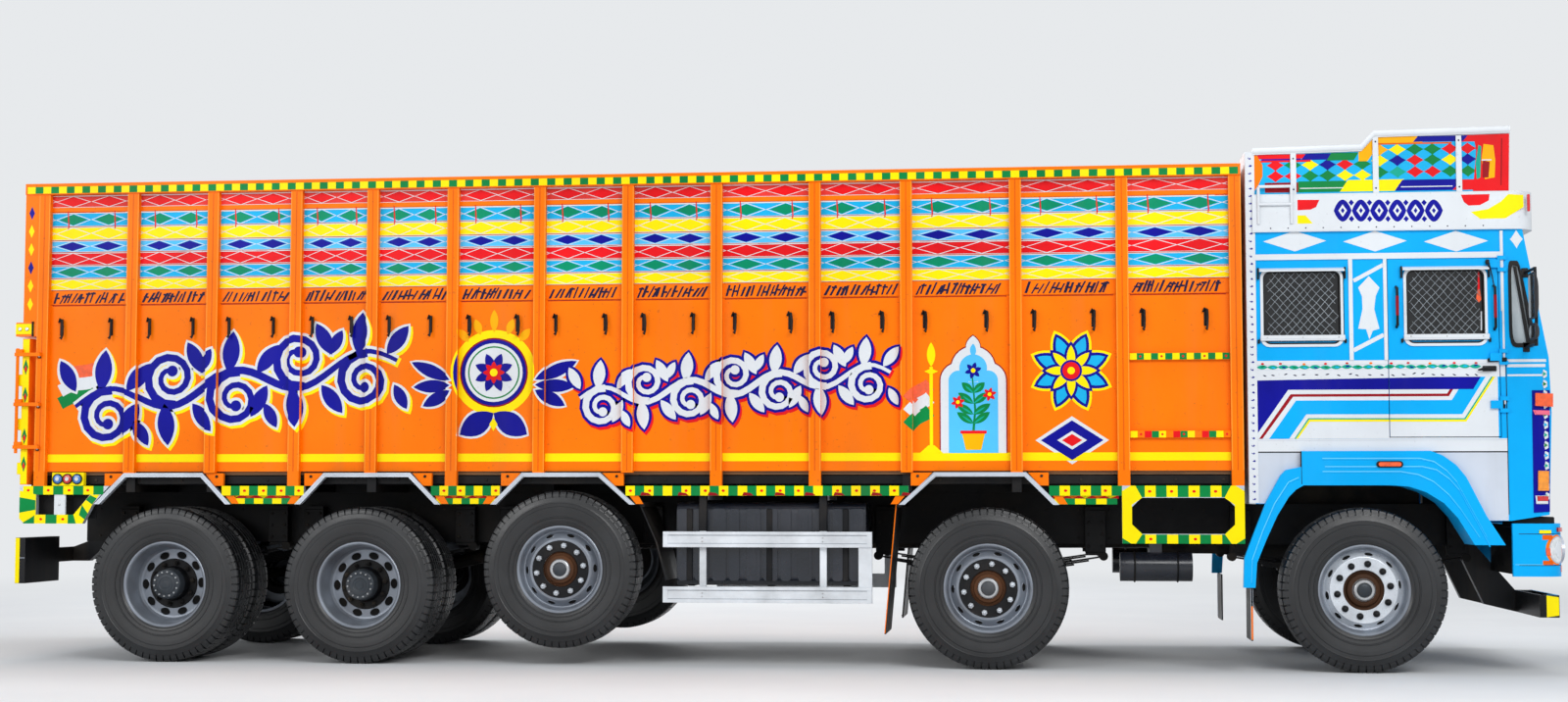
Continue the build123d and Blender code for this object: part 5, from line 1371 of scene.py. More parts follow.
# nested bands of the lower flank: the upper and the lower line of each, in pixels
BAND_LOW, BAND_HIGH = 445.4, 384.6
TEAL_LINE = [(1323.8, BAND_LOW), (1335.9, 427.9), (1495.3, 427.9), (1523, BAND_HIGH)]
BANDS = (
    ([(1262, 388.5), (1481.4, 384.2)], [(1262, 397.8), (1474.4, 397)], NAVY),
    ([(1262, 397.8), (1262, BAND_LOW)], [(1314.4, 397.6), (1281, BAND_LOW)], NAVY),
    ([(1286.4, BAND_LOW), (1316.8, 402.1), (1476.6, 401.4), (1487.2, BAND_HIGH)],
     [(1289.8, BAND_LOW), (1319.4, 404.7), (1478.4, 404.1), (1490.4, BAND_HIGH)], CRIMSON),
    ([(1296.6, BAND_LOW), (1322.4, 408.6), (1481.4, 408), (1496, BAND_HIGH)],
     [(1317, BAND_LOW), (1333, 422.6), (1492, 422.4), (1515.6, BAND_HIGH)], CAB_BLUE),
    ([(1322.2, BAND_LOW), (1335, 426.5), (1494.3, 426.5), (1521.2, BAND_HIGH)],
     TEAL_LINE, TEAL),
    (TEAL_LINE,
     [(1325.8, BAND_LOW), (1336.9, 430), (1496.2, 430), (1525.4, BAND_HIGH)], YELLOW),
)
CORNER_LAMPS = (
    ([(1566, 401), (1584, 401.5), (1584, 415), (1566, 414)], LAMP_ORANGE, 0.022),
    ([(1564, 418.3), (1581, 418.8), (1581, 423.4), (1566, 423)], PINK, 0.010),
    ([(1569, 480), (1580, 480.5), (1580, 500.5), (1569, 500.5)], LAMP_AMBER, 0.020),
    ([(1566.5, 505.5), (1579.5, 505.5), (1579.5, 514), (1567.5, 514)], WHITE, 0.010),
    ([(1568, 506), (1579.5, 506), (1579.5, 511), (1568.5, 511)], LAMP_RED, 0.016),
)
# these outlines are in pixels of an enlarged part of the picture
PART_CORNER, PART_SCALE = (1140, 110), 3.4087
BOTTLE = ((875, 585), (912, 625), (899, 655), (894, 700), (912, 768), (889, 775), (877, 805), (866, 770),
          (838, 768), (853, 700), (851, 655), (838, 625))
BAND_SHAPES = (
    ([(627, 320), (703, 320), (692, 345), (672, 354), (627, 356)], RED),
    ([(627, 374), (655, 374), (680, 402), (627, 403)], YELLOW),
    ([(1195, 302), (1295, 300), (1292, 322), (1262, 338), (1222, 340), (1206, 328)], RED),
    ([(1230, 362), (1290, 352), (1335, 325), (1360, 300), (1412, 303), (1413, 345), (1350, 384),
      (1262, 386)], YELLOW),
)


def part_seen(points, y):
    corner_u, corner_v = PART_CORNER
    return all_seen([(corner_u + u / PART_SCALE, corner_v + v / PART_SCALE) for u, v in points], y)


def cab_coat(still, door, wall, outline, lift, finish):
    """Paint on the cab's flank: the part on the door goes with the door."""
    inner = window(outline, *DOOR)
    if inner:
        door.flat(wall, inner, lift, finish)
    u0, u1, v0, v1 = DOOR[0] - DOOR_GAP, DOOR[1] + DOOR_GAP, DOOR[2] - DOOR_GAP, DOOR[3] + DOOR_GAP
    for area in (clip(outline, 0, 3.145, u0), clip(outline, 0, u1, 5.05), window(outline, u0, u1, v1, 3.5),
                 window(outline, u0, u1, 0.5, v0)):
        if area:
            still.flat(wall, area, lift, finish)


def corner_strip(still, wall):
    """White strip with a row of slanted marks at the cab's rear corner."""
    still.plate(wall, box(3.146, FLANK_BACK, 1.070, 3.315), -0.002, 0.006, WHITE)
    for k in range(46):
        z = 1.095 + k * 0.0485
        tilt = math.radians(dice.uniform(-50, 10))
        still.flat(wall, disc(3.176 + dice.uniform(-0.003, 0.003), z, 0.0105, 10, 0.62, tilt), 0.0066, NAVY)
        still.flat(wall, disc(3.172, z + 0.004, 0.0045, 8), 0.0072, WHITE)


def mouldings(still, wall):
    for outline, rise in ((box(FLANK_BACK, SCREEN_EDGE, 2.620, 2.657), 0.009),
                          (box(FLANK_BACK, FLANK_FRONT, 1.397, 1.477), 0.009)):
        still.plate(wall, outline, -0.002, rise, WHITE)
    still.flat(wall, box(FLANK_BACK, FLANK_FRONT, 1.466, 1.469), 0.0100, PALE)
    for u0, u1, v0, v1, rise in ((4.722, SCREEN_EDGE, 2.28, 2.79, 0.008),
                                 (4.728, SCREEN_EDGE, BELT_TOP, 2.28, 0.006),
                                 (3.783, 3.808, BELT_TOP, 2.620, 0.008),
                                 (3.999, 4.021, BELT_TOP, 2.620, 0.008)):
        still.plate(wall, box(u0, u1, v0, v1), -0.002, rise, WHITE)


def belt(coat):
    """Leaves and scribbled marks on white, between two thin lines."""
    coat(box(FLANK_BACK, SCREEN_EDGE, BELT_Z, BELT_TOP), 0.0010, WHITE)
    for k in range(21):
        cu = FLANK_BACK + (SCREEN_EDGE - 0.15 - FLANK_BACK) * (k + 0.5) / 21
        z = 1.933 + dice.uniform(-0.002, 0.002)
        coat(leaf(cu - 0.036, z, 0.072, 0.027, dice.uniform(-4, 4), steps=7), 0.0016, TEAL)
        bright = (GREEN, CYAN, NAVY)[k % 3]
        coat(leaf(cu - 0.010, 1.934, 0.030, 0.010, dice.uniform(-20, 20), steps=5), 0.0022, bright)
        if k % 2 == 0:
            spot = disc(cu + dice.uniform(-0.02, 0.02), 1.955 + dice.uniform(-0.003, 0.002), 0.010, 8, 0.7)
            coat(spot, 0.0026, (RED, ORANGE, LAMP_RED)[k % 3])
        coat(leaf(cu + dice.uniform(-0.02, 0.01), 1.884, 0.026, 0.008, dice.uniform(-30, 30), steps=5),
             0.0018, INK)
    for low, high in ((1.9465, 1.9500), (1.9150, 1.9175)):
        coat(box(FLANK_BACK, SCREEN_EDGE, low, high), 0.0014, PALE)


def lower_flank(coat):
    """White ground with nested bands; their ends run out under the mouldings. Pale skirt below."""
    front = 4.693
    coat(box(FLANK_BACK, front, SILL_TOP, BELT_Z), 0.0010, WHITE)
    coat(box(front, FLANK_FRONT, SILL_TOP, BELT_Z), 0.0010, CAB_BLUE)
    for upper, lower, finish in BANDS:
        edges = [all_seen(upper), all_seen(lower)]
        for edge in edges:
            for end, inner in ((0, 1), (-1, -2)):
                edge[end] = tuple(a + (a - b) * 0.12 for a, b in zip(edge[end], edge[inner]))
        for a, b, c, d in zip(edges[0], edges[0][1:], edges[1][1:], edges[1]):
            part = window([a, b, c, d], FLANK_BACK, front, SILL_TOP, BELT_Z)
            if part:
                coat(part, 0.0018, finish)
    for outline in (box(FLANK_BACK, FLANK_FRONT, SKIRT_Z, 1.397),
                    [(FLANK_BACK, 1.068), (3.238, 1.068), (3.40, SKIRT_Z), (FLANK_BACK, SKIRT_Z)],
                    [(4.333, SKIRT_Z), (4.543, 0.962), (FLANK_FRONT, 0.962), (FLANK_FRONT, SKIRT_Z)]):
        coat(outline, 0.0010, PALE)
    coat(box(FLANK_BACK, FLANK_FRONT, 1.389, 1.397), 0.0016, SEAL)
    coat(box(4.7425, 4.7475, 1.00, BELT_TOP), 0.0020, SEAL)


def lamp_panel(still, wall):
    """Navy upright panel with lamps at the front corner."""
    still.plate(wall, all_seen(CORNER_PANEL), -0.001, 0.004, NAVY)
    for points, finish, rise in CORNER_LAMPS:
        outline = all_seen(points)
        middle = [sum(values) / 4 for values in zip(*outline)]
        still.plate(wall, outline, 0.003, rise, finish)
        still.plate(wall, scaled(outline, middle, 0.8, 0.8), rise - 0.001, rise + 0.004, finish)


def handles(still, door):
    for x, z0, z1 in ((4.078, 2.185, 2.440), (4.680, 2.165, 2.440)):
        y = CAB_Y + 0.042
        rail = [(x, CAB_Y, z0), (x, CAB_Y + 0.040, z0 + 0.012), (x, y, z0 + 0.05), (x, y, z1 - 0.05),
                (x, CAB_Y + 0.040, z1 - 0.012), (x, CAB_Y, z1)]
        door.pipe(rail, 0.009, BLACK, 10)
        door.pipe([(x, y, z0 + 0.07), (x, y, z1 - 0.06)], 0.0105, CRIMSON, 10)
    for build, x, rise, z, finish, cut in (
        (door, (4.632, 4.700), 0.016, (1.958, 1.982), BLACK, 0.004),
        (still, (4.712, 4.750), 0.018, (1.954, 1.986), BLACK, 0.004),
        (door, (4.600, 4.686), 0.012, (1.900, 1.934), BLACK, 0.004),
        (still, (4.716, 4.734), 0.016, (1.66, 1.72), BLACK, 0.004),
        (still, (4.726, 4.738), 0.020, (1.69, 1.715), SILVER, 0.003),
        (door, (4.630, 4.652), 0.030, (2.575, 2.606), BLACK, 0.005),
    ):
        build.brick(x, (CAB_Y, CAB_Y + rise), z, finish, cut)
    door.pipe([(4.572, CAB_Y + 0.016, 1.908), (4.61, CAB_Y + 0.034, 1.916), (4.664, CAB_Y + 0.026, 1.914)],
              [0.005, 0.010, 0.008], BLACK)
    door.pipe([(4.650, CAB_Y + 0.020, 2.585), (4.668, CAB_Y + 0.022, 2.50), (4.678, CAB_Y + 0.030, 2.43)],
              0.004, BLACK, 6)


def door_card(door):
    """Trim card, arm rest and catch on the door's inner side."""
    y = CAB_Y - 0.042
    card = side_wall(-door.side, -y)
    door.plate(card, rounded(4.075, 4.660, 1.535, 2.030, 0.04), -0.001, 0.006, PLASTIC)
    door.rim(card, rounded(4.120, 4.600, 1.570, 1.760, 0.03), rounded(4.135, 4.585, 1.585, 1.745, 0.02),
             0.005, 0.012, SEAL)
    door.brick((4.16, 4.50), (y - 0.050, y - 0.005), (1.850, 1.885), PLASTIC, 0.010)
    door.brick((4.56, 4.63), (y - 0.022, y - 0.005), (1.955, 1.975), SILVER, 0.004)


def wire_guard(build, u0, u1):
    """Crossing wires over a window, each waving over and under the others."""
    v0, v1 = WINDOW_Z
    pitch, steps = 0.052, 11
    wires = math.ceil((u1 - u0 + v1 - v0) / pitch)
    for k in range(-wires, wires):
        for slope in (1, -1):
            start = u0 + k * pitch + dice.uniform(-0.006, 0.006)
            points = []
            for s in range(steps + 1):
                t = (v1 - v0) * s / steps
                u = start + t * 0.92 + 0.003 * math.sin(s * 2.1 + k)
                if u0 + 0.010 < u < u1 - 0.016:
                    y = CAB_Y - 0.008 + 0.0020 * (-1) ** s * slope
                    points.append((u, y, (v0 if slope > 0 else v1) + slope * t))
            if len(points) > 1:
                build.pipe(points, 0.0015, WIRE, 4)


def cab_window(build, wall, u0, u1, tassel):
    """Frame, seal, wire guard, hood and sill of one side window."""
    v0, v1 = WINDOW_Z
    build.rim(wall, rounded(u0 - 0.019, u1 + 0.012, v0 - 0.034, v1 + 0.022, 0.055),
              rounded(u0 + 0.003, u1 - 0.009, v0 - 0.014, v1 + 0.003, 0.042), -0.012, 0.009, WHITE)
    build.rim(wall, rounded(u0 - 0.001, u1 - 0.005, v0 - 0.017, v1 + 0.006, 0.045),
              rounded(u0 + 0.007, u1 - 0.013, v0 - 0.008, v1 - 0.002, 0.036), -0.018, 0.0105, SEAL)
    wire_guard(build, u0, u1)
    if tassel:
        hang = build.wall(CAB_Y - 0.0135)
        for outline, finish in (([(4.588, 2.536), (4.596, 2.536), (4.598, 2.42), (4.584, 2.42)], RED),
                                ([(4.583, 2.42), (4.598, 2.42), (4.606, 2.356), (4.590, 2.336),
                                  (4.574, 2.362)], LAMP_ORANGE),
                                ([(4.600, 2.28), (4.608, 2.28), (4.606, 2.16), (4.598, 2.16)], WHITE)):
            build.plate(hang, outline, -0.003, 0.0, finish)
    hood = [(CAB_Y, v1 + 0.028), (CAB_Y + 0.044, v1 + 0.010), (CAB_Y + 0.046, v1 + 0.002),
            (CAB_Y, v1 + 0.010)]
    points = [(u, build.side * a, b) for u in (u0 - 0.026, u1 + 0.020) for a, b in hood]
    middle = Vector([sum(values) / 8 for values in zip(*points)])
    build.put(points, [outward(points, face, middle) for face in rings(1, 4) + ends(1, 4)], WHITE)
    for u in (u0 - 0.032, u1 + 0.024):
        build.brick((u - 0.005, u + 0.005), (CAB_Y, CAB_Y + 0.026), (v1 - 0.045, v1 + 0.030), SEAL)
        build.brick((u - 0.007, u + 0.007), (CAB_Y, CAB_Y + 0.014), (v0 - 0.012, v0 + 0.014), SEAL)
    sill_y = CAB_Y + 0.024
    build.brick((u0 - 0.022, u1 + 0.020), (CAB_Y, sill_y), (v0 + 0.004, v0 + 0.040), WHITE, 0.004)
    build.flat(build.wall(sill_y), box(u0 - 0.018, u1 + 0.016, v0 + 0.016, v0 + 0.018), 0.0008, PALE)
    for u in (u0 + 0.02, (u0 + u1) / 2, u1 - 0.02):
        build.stud((u, sill_y, v0 + 0.026), 0.005, 0.003, STEEL, 8, True)


def nose(still, wall):
    """Quarter light with its divider, thin lines, and a chain of links down the front edge."""
    middle = (4.829, 2.32)
    still.rim(wall, softened(scaled(QUARTER, middle, 1.34, 1.08), 0.22),
              softened(scaled(QUARTER, middle, 0.92, 0.975), 0.22), -0.018, 0.008, SEAL)
    bar = [(4.806, 2.562), (4.820, 2.562), (4.896, 2.082), (4.876, 2.082)]
    still.plate(wall, bar, -0.018, 0.004, SEAL, closed=True)
    for u, z0, z1, lift in ((4.985, 1.925, 1.944, 0.0010), (4.985, 1.868, 1.880, 0.0010),
                            (4.990, 1.957, 1.975, 0.0012)):
        still.flat(wall, box(4.752, u, z0, z1), lift, WHITE)
    still.flat(wall, thorn(4.825, 2.735, 0.040, 0.060), 0.0012, WHITE)
    link_outline = [(4.972, 0), (4.992, 0.012), (4.992, 0.044), (4.972, 0.056), (4.964, 0.028)]
    for k in range(13):
        z = 1.085 + k * 0.064
        still.plate(wall, placed(link_outline, 0, z, 0), 0.0, 0.006, WHITE)
        still.plate(wall, [(4.968, z + 0.016), (4.988, z + 0.028), (4.968, z + 0.042)], 0.005, 0.009,
                    (TEAL, CYAN, GREEN)[k % 3])


for side_name, side in SIDES:
    still = Build(f"cab_painting_{side_name}", side)
    door = Build(f"cab_door_painting_{side_name}", side)
    wall = side_wall(side, CAB_Y)
    coat = partial(cab_coat, still, door, wall)
    corner_strip(still, wall)
    mouldings(still, wall)
    for points, width in DIAGONALS:
        for quad in stroke(all_seen(points), width):
            coat(quad, 0.0010, WHITE)
    still.flat(wall, part_seen(BOTTLE, -CAB_Y), 0.0012, WHITE)
    for cu, cv in all_seen(WINDOW_LOZENGES):
        coat(lozenge(cu, cv, 0.198, 0.066), 0.0010, WHITE)
    belt(coat)
    lower_flank(coat)
    lamp_panel(still, wall)
    handles(still, door)
    door_card(door)
    cab_window(still, wall, 3.250, 3.736, False)
    cab_window(door, wall, 4.142, 4.626, True)
    nose(still, wall)
    still.done("truck", "cab_paint")
    door.done(f"cab_door_{side_name}", "cab_paint")

# Roof band, painted panel of the carrier, and the rail over it
BAND_Y = 1.257
THORN_COLOURS = {"R": RED, "G": GREEN, "Y": YELLOW, "N": NAVY, "A": AMBER, "T": TEAL}
# rows of thorns: colours, height, and the place of the first
THORN_ROWS = (("RGYNRG", 3.230, 0), ("RRGGYY", 3.159, 0), ("AYGGRR", 3.319, 6), ("YNRGYN", 3.250, 6),
              ("GTRRGG", 3.175, 6))
# painted borders, each run to a slanted end over the next one: from, to, foot, head, lean
BORDERS = (
    (3.27, 3.50, 3.054, 3.118, 0.00, CRIMSON), (3.48, 3.78, 3.054, 3.124, 0.00, GREEN),
    (3.74, 4.14, 3.054, 3.128, 0.05, YELLOW), (4.08, 4.50, 3.054, 3.124, 0.05, NAVY),
    (4.44, 4.78, 3.054, 3.120, 0.06, RED), (3.21, 3.53, 3.272, 3.300, 0.02, RED),
    (3.25, 3.50, 3.262, 3.272, 0.00, NAVY), (3.22, 3.56, 3.250, 3.262, 0.00, RED),
    (3.50, 3.72, 3.262, 3.302, 0.03, NAVY), (3.66, 3.86, 3.256, 3.304, 0.03, GREEN),
    (3.96, 4.24, 3.362, 3.402, -0.02, AMBER), (3.97, 4.44, 3.352, 3.362, 0.00, ORANGE_DEEP),
    (4.20, 4.54, 3.366, 3.402, 0.03, NAVY), (4.50, 4.78, 3.362, 3.404, 0.02, RED),
)
PANEL_SHAPES = (
    (box(3.49, 3.76, 3.076, 3.082), 0.0026, WHITE),
    (box(4.12, 4.44, 3.076, 3.082), 0.0026, WHITE),
    ([(3.86, 3.248), (3.915, 3.248), (3.985, 3.345), (3.975, 3.400), (3.945, 3.39), (3.86, 3.305)], 0.0020,
     AMBER),
    ([(3.200, 3.060), (3.232, 3.110), (3.256, 3.160), (3.256, 3.235), (3.222, 3.297), (3.200, 3.297)],
     0.0026, ORANGE),
    # end panel with a tapered vase
    ([(4.565, 3.045), (4.785, 3.045), (4.795, 3.408), (4.575, 3.404), (4.590, 3.300)], 0.0026, RED),
    ([(4.590, 3.12), (4.612, 3.13), (4.622, 3.33), (4.604, 3.34), (4.584, 3.22)], 0.0032, TEAL),
    ([(4.640, 3.12), (4.700, 3.13), (4.706, 3.24), (4.696, 3.335), (4.636, 3.345), (4.622, 3.25)], 0.0032,
     AMBER),
    ([(4.626, 3.13), (4.662, 3.13), (4.672, 3.23), (4.628, 3.24)], 0.0038, CRIMSON),
    (box(4.622, 4.682, 3.238, 3.246), 0.0044, WHITE),
    ([(4.735, 3.08), (4.742, 3.08), (4.752, 3.38), (4.745, 3.38)], 0.0032, CRIMSON),
)


def roof_band(top):
    wall = top.wall(BAND_Y)
    put = top.painter(wall)
    put(box(3.188, 4.790, 2.806, 3.034), 0.0008, WHITE)
    for points, finish in BAND_SHAPES:
        put(part_seen(points, -BAND_Y), 0.0014, finish)
    for k in range(6):
        cu, cv = seen(BAND_LEAVES[0] + k * BAND_LEAF_STEP, BAND_LEAVES[1], -BAND_Y)
        put(leaf(cu - 0.056, cv, 0.112, 0.142, 0), 0.0014, NAVY)
        nested(put, lozenge, cu, cv, 0.0020, (0.027, 0.040, WHITE), (0.012, 0.018, NAVY))
        if k:
            for dv in (-0.052, 0.052):
                put(lozenge(cu - 0.059, cv + dv, 0.017, 0.020), 0.0014, NAVY)
    cu, cv = seen(*BAND_LAMP_AT, -BAND_Y)
    top.plate(wall, rounded(cu - 0.010, cu + 0.008, cv - 0.055, cv + 0.055, 0.008, 3), 0.0, 0.012, LAMP_RED)
    for k in range(13):
        top.stud((3.30 + 0.11 * k, BAND_Y, 2.822), 0.005, 0.003, INK, 8, True)


def carrier_panel(top):
    put = top.painter(top.wall(CAB_Y))
    put([(3.200, 3.045), (4.778, 3.045), (4.790, 3.405), (3.960, 3.395), (3.880, 3.310), (3.200, 3.297)],
        0.0008, CYAN)
    for letters, cv, first in THORN_ROWS:
        for k, letter in enumerate(letters):
            put(thorn(3.338 + 0.109 * (first + k), cv, 0.056, 0.038), 0.0014, THORN_COLOURS[letter])
    for low, high, v0, v1, slant, finish in BORDERS:
        put([(low, v0), (high - slant, v0), (high, v1), (low + slant, v1)], 0.0020, finish)
    for outline, lift, finish in PANEL_SHAPES:
        put(outline, lift, finish)
    foot = 3.042
    for x, head in ((3.449, 3.30), (3.964, 3.40), (4.480, 3.40)):
        top.plate(top.wall(LADDER_Y), box(x - 0.017, x + 0.017, foot, head), -0.002, 0.002, WHITE)
        for z in (foot + 0.03, head - 0.03):
            top.stud((x, 1.249, z), 0.006, 0.004, INK, 8, True)
    rail = [(3.196, 3.322), (3.876, 3.334), (3.957, 3.421), (4.798, 3.434)]
    top.pipe([(x, 1.236, z) for x, z in rail], 0.0215, WHITE, 14)
    # small ladder over the rear of the band
    back, front, y = 3.225, 3.432, 1.268
    for x in (back, front):
        top.pipe([(x, 1.262, 2.850), (x, y, 3.085)], 0.0095, WHITE, 10)
    for z in (2.975, 3.090):
        top.pipe([(back, y, z), (front, y, z)], 0.0095, WHITE, 10)


# Fenders: pressed beads with painted shade and painted highlight lines along them, joint lines, marker lamp
UPPER_BEAD = [(3.60, 1.345), (4.20, 1.345), (4.285, 1.325), (4.360, 1.270), (4.420, 1.200), (4.560, 0.930),
              (4.600, 0.850)]
LOWER_BEAD = [(3.60, 1.262), (4.08, 1.262), (4.190, 1.243), (4.280, 1.200), (4.370, 1.120), (4.440, 1.030),
              (4.555, 0.850)]
REAR_BEAD = [(3.150, 0.56), (3.158, 0.71), (3.225, 0.89), (3.300, 1.06), (3.388, 1.195), (3.452, 1.225)]


def dropped(path, drop):
    """A bead's line moved down, and out by a share of that."""
    return [(u - 0.3 * drop, v + drop) for u, v in path]


for side_name, side in SIDES:
    top = Build(f"roof_painting_{side_name}", side)
    roof_band(top)
    carrier_panel(top)
    top.done("truck", "cab_paint")

    beads, wall = Build(f"fender_beads_{side_name}", side), side_wall(side, FENDER_Y)
    for path, drop in ((UPPER_BEAD, 0.0), (LOWER_BEAD, 0.0), (REAR_BEAD, 0.0), (UPPER_BEAD, -0.052)):
        # along each bead: a darker line of painted shade, and a lighter line of painted highlight beside it
        for shift, width, finish in ((0.0, 0.007, BEAD_PAINTED_SHADE), (0.008, 0.005, BEAD_PAINTED_HIGHLIGHT)):
            for quad in stroke(dropped(path, drop + shift), width):
                beads.flat(wall, quad, 0.0006, finish)
        beads.pipe([(u, FENDER_Y - 0.002, v) for u, v in dropped(path, drop)], 0.0045, CAB_BLUE)
    beads.brick((3.466, 3.470), (1.240, 1.2825), (1.190, 1.398), SEAL, 0.001)
    cu, cv = seen(*FENDER_LAMP_AT, -FENDER_Y)
    for half_u, half_v, radius, low, high, finish in ((0.082, 0.020, 0.018, 0.0, 0.010, SEAL),
                                                      (0.070, 0.013, 0.012, 0.009, 0.020, LAMP_ORANGE)):
        beads.plate(wall, rounded(cu - half_u, cu + half_u, cv - half_v, cv + half_v, radius), low, high,
                    finish)
    beads.done("truck", "fender_paint")


# Front surface of the cab: (height, x) where it bends, from the grille's foot up to the roof
FRONT_BENDS = ((0.998, 4.991), (1.644, 5.017), (1.984, 5.007), (2.799, 4.862))


def front_x(z):
    for (z0, x0), (z1, x1) in zip(FRONT_BENDS, FRONT_BENDS[1:]):
        if z < z1 or z1 == FRONT_BENDS[-1][0]:
            return x0 + (z - z0) * (x1 - x0) / (z1 - z0)


# Fixed glass: side panes made dark as painted shade of the cab's inside, clear quarter lights and screens
PANE_Y, PANE = 1.213, 0.006
panes = Build("cab_panes")
for side_name, side in SIDES:
    wall = side_wall(side, PANE_Y)
    panes.plate(wall, box(3.250, 3.755, *WINDOW_Z), 0.0, PANE, GLAZING_PAINTED_SHADE, closed=True)
    panes.plate(wall, QUARTER, 0.0, PANE, PALE_GLAZING, closed=True)
    screen_edge = ((2.085, 0.012), (2.700, 0.012), (2.700, 0.018), (2.085, 0.018))
    screen = [(front_x(z) - inset, z) for z, inset in screen_edge]
    panes.plate(side_wall(side, 0.0), screen, 0.040, 1.090, GLAZING, closed=True)
panes.done("truck", "window_glass", ["cab_glass"])

# Front: screen seals, grille, painted bands, wipers
BUMPER_X, CORNER_AT, CORNER_R = 5.080, (4.950, 1.108), 0.130
BELT_BAND = (1.66, BELT_TOP)


def round_corner(side):
    """Surface of the bumper's round corner: u is the angle from straight ahead, in degrees."""
    def place(u, v, h):
        a, reach = math.radians(u), CORNER_R + h
        return CORNER_AT[0] + reach * math.cos(a), side * (CORNER_AT[1] + reach * math.sin(a)), v
    return place, side > 0


def wrap(build, outline, high, finish):
    """A plate bent round the bumper's corner, in narrow strips."""
    for a in range(-6, 96, 6):
        part = clip(outline, 0, a, a + 6)
        if part:
            build.plate(round_corner(build.side), part, 0.0, high, finish)


def lozenge_band(put, first, pitch, count, cv, sizes, colours):
    """A row of two-coloured lozenges."""
    for k in range(count):
        nested(put, lozenge, first + pitch * k, cv, 0.0016, (*sizes[0], colours[k % len(colours)]),
               (*sizes[1], WHITE))


def front_side(front, put, side):
    """Screen seal, end of the belt band, flower and wiper of one side."""
    u0, u1 = sorted((side * 0.04, side * 1.09))
    front.rim(face, rounded(u0 - 0.034, u1 + 0.034, 2.052, 2.734, 0.06),
              rounded(u0 + 0.012, u1 - 0.012, 2.098, 2.688, 0.04), -0.020, 0.012, SEAL)
    put(box(*sorted((side * 0.66, side * 1.18)), *BELT_BAND), 0.0010, WHITE)
    lozenge_band(put, side * 0.74, side * 0.125, 4, 1.82, ((0.06, 0.11), (0.025, 0.045)),
                 (NAVY, RED, GREEN, AMBER))
    put(box(*sorted((side * 0.68, side * 1.18)), 1.10, 1.62), 0.0010, NAVY)
    cu, cv = side * 0.93, 1.36
    for turn in range(0, 360, 60):
        put(leaf(cu, cv, 0.19, 0.09, turn), 0.0016, YELLOW)
        put(leaf(cu, cv, 0.12, 0.05, turn + 30), 0.0022, RED)
    put(disc(cu, cv, 0.045, 18), 0.0028, WHITE)
    foot = (front_x(2.05) + 0.016, 0.30, 2.05)
    front.pipe([foot, (front_x(2.2) + 0.040, 0.42, 2.20), (front_x(2.45) + 0.036, 0.62, 2.45)], 0.006,
               BLACK)
    front.pipe([(front_x(2.25) + 0.026, 0.44, 2.25), (front_x(2.62) + 0.020, 0.80, 2.62)], 0.006, BLACK, 6)
    front.stud(foot, 0.020, 0.018, BLACK, 12, True, ahead=(1, 0, 0))


def bumper_end(front, side):
    """Painted lamps and bands round the bumper's corner, a dark block as painted shade in the recess over
    it, stripes under it.
    """
    for cu, half_u, half_v, high, finish in ((49, 36, 0.094, 0.0012, ORANGE),
                                             (46, 30, 0.086, 0.0030, SILVER),
                                             (46, 27, 0.079, 0.0060, LAMP_WHITE),
                                             (42, 15, 0.052, 0.0090, WHITE)):
        wrap(front, [(cu + half_u * math.cos(a), 0.779 + half_v * math.sin(a)) for a in around(32)], high,
             finish)
    for v0, v1 in ((0.842, 0.872), (0.686, 0.712)):
        wrap(front, [(62, v0), (93, v0), (93, v1), (66, v1)], 0.0016, ORANGE_DEEP)
    for outline, high, finish in ((box(64, 84, 0.745, 0.79), 0.0050, LAMP_ORANGE),
                                  (box(70, 95, 0.882, 0.902), 0.0080, YELLOW),
                                  (box(22, 48, 0.892, 0.918), 0.0120, LAMP_RED),
                                  (box(2, 26, 0.640, 0.680), 0.0040, LAMP_ORANGE)):
        wrap(front, outline, high, finish)
    flank = side_wall(side, BUMPER_Y)
    front.plate(flank, box(4.925, 4.952, 0.882, 0.902), 0.0, 0.008, YELLOW)
    for v in (0.876, 0.680):
        front.flat(flank, box(4.800, 4.952, v, v + 0.004), 0.0008, SEAL)
        wrap(front, box(20, 90, v, v + 0.004), 0.0008, SEAL)
    front.flat(flank, box(4.775, 4.952, 0.684, 0.690), 0.0008, SKY)
    # dark block filling the recess over the bumper: painted shade
    front.brick((4.775, 5.030), (0.880, 1.190), (0.915, 0.985), CHASSIS, 0.006)
    front.brick((4.785, 4.797), (0.450, 1.214), (0.622, 0.934), CHASSIS, 0.003)
    stripe = 0.1516
    for k in range(5):
        start = 0.372 + stripe * k
        outline = box(*sorted((side * start, side * (start + stripe))), 0.354, 0.491)
        front.flat(bow_wall(FRONT_GUARD_X), outline, 0.0010, (BLACK, YELLOW)[k % 2])


front = Build("front_details")
face = bow_wall(front_x)
put = front.painter(face)
for side in front.both_sides():
    front_side(front, put, side)
put(box(-0.64, 0.64, *BELT_BAND), 0.0010, WHITE)
lozenge_band(put, -0.56, 0.14, 9, 1.82, ((0.066, 0.12), (0.030, 0.055)), (RED, NAVY, YELLOW))
front.rim(face, rounded(-0.672, 0.672, 1.098, 1.632, 0.03), rounded(-0.640, 0.640, 1.130, 1.600, 0.01),
          -0.010, 0.014, SILVER)
for k in range(7):
    z = 1.13 + 0.4700 / 7 * (k + 0.5)
    front.brick((4.990, 4.999), (-0.638, 0.638), (z - 0.012, z + 0.012), SILVER)
put(box(-1.19, 1.19, 2.742, 2.790), 0.0010, YELLOW)
for k in range(17):
    put(lozenge(-1.12 + 0.14 * k, 2.766, 0.060, 0.020), 0.0016, (RED, NAVY, GREEN)[k % 3])
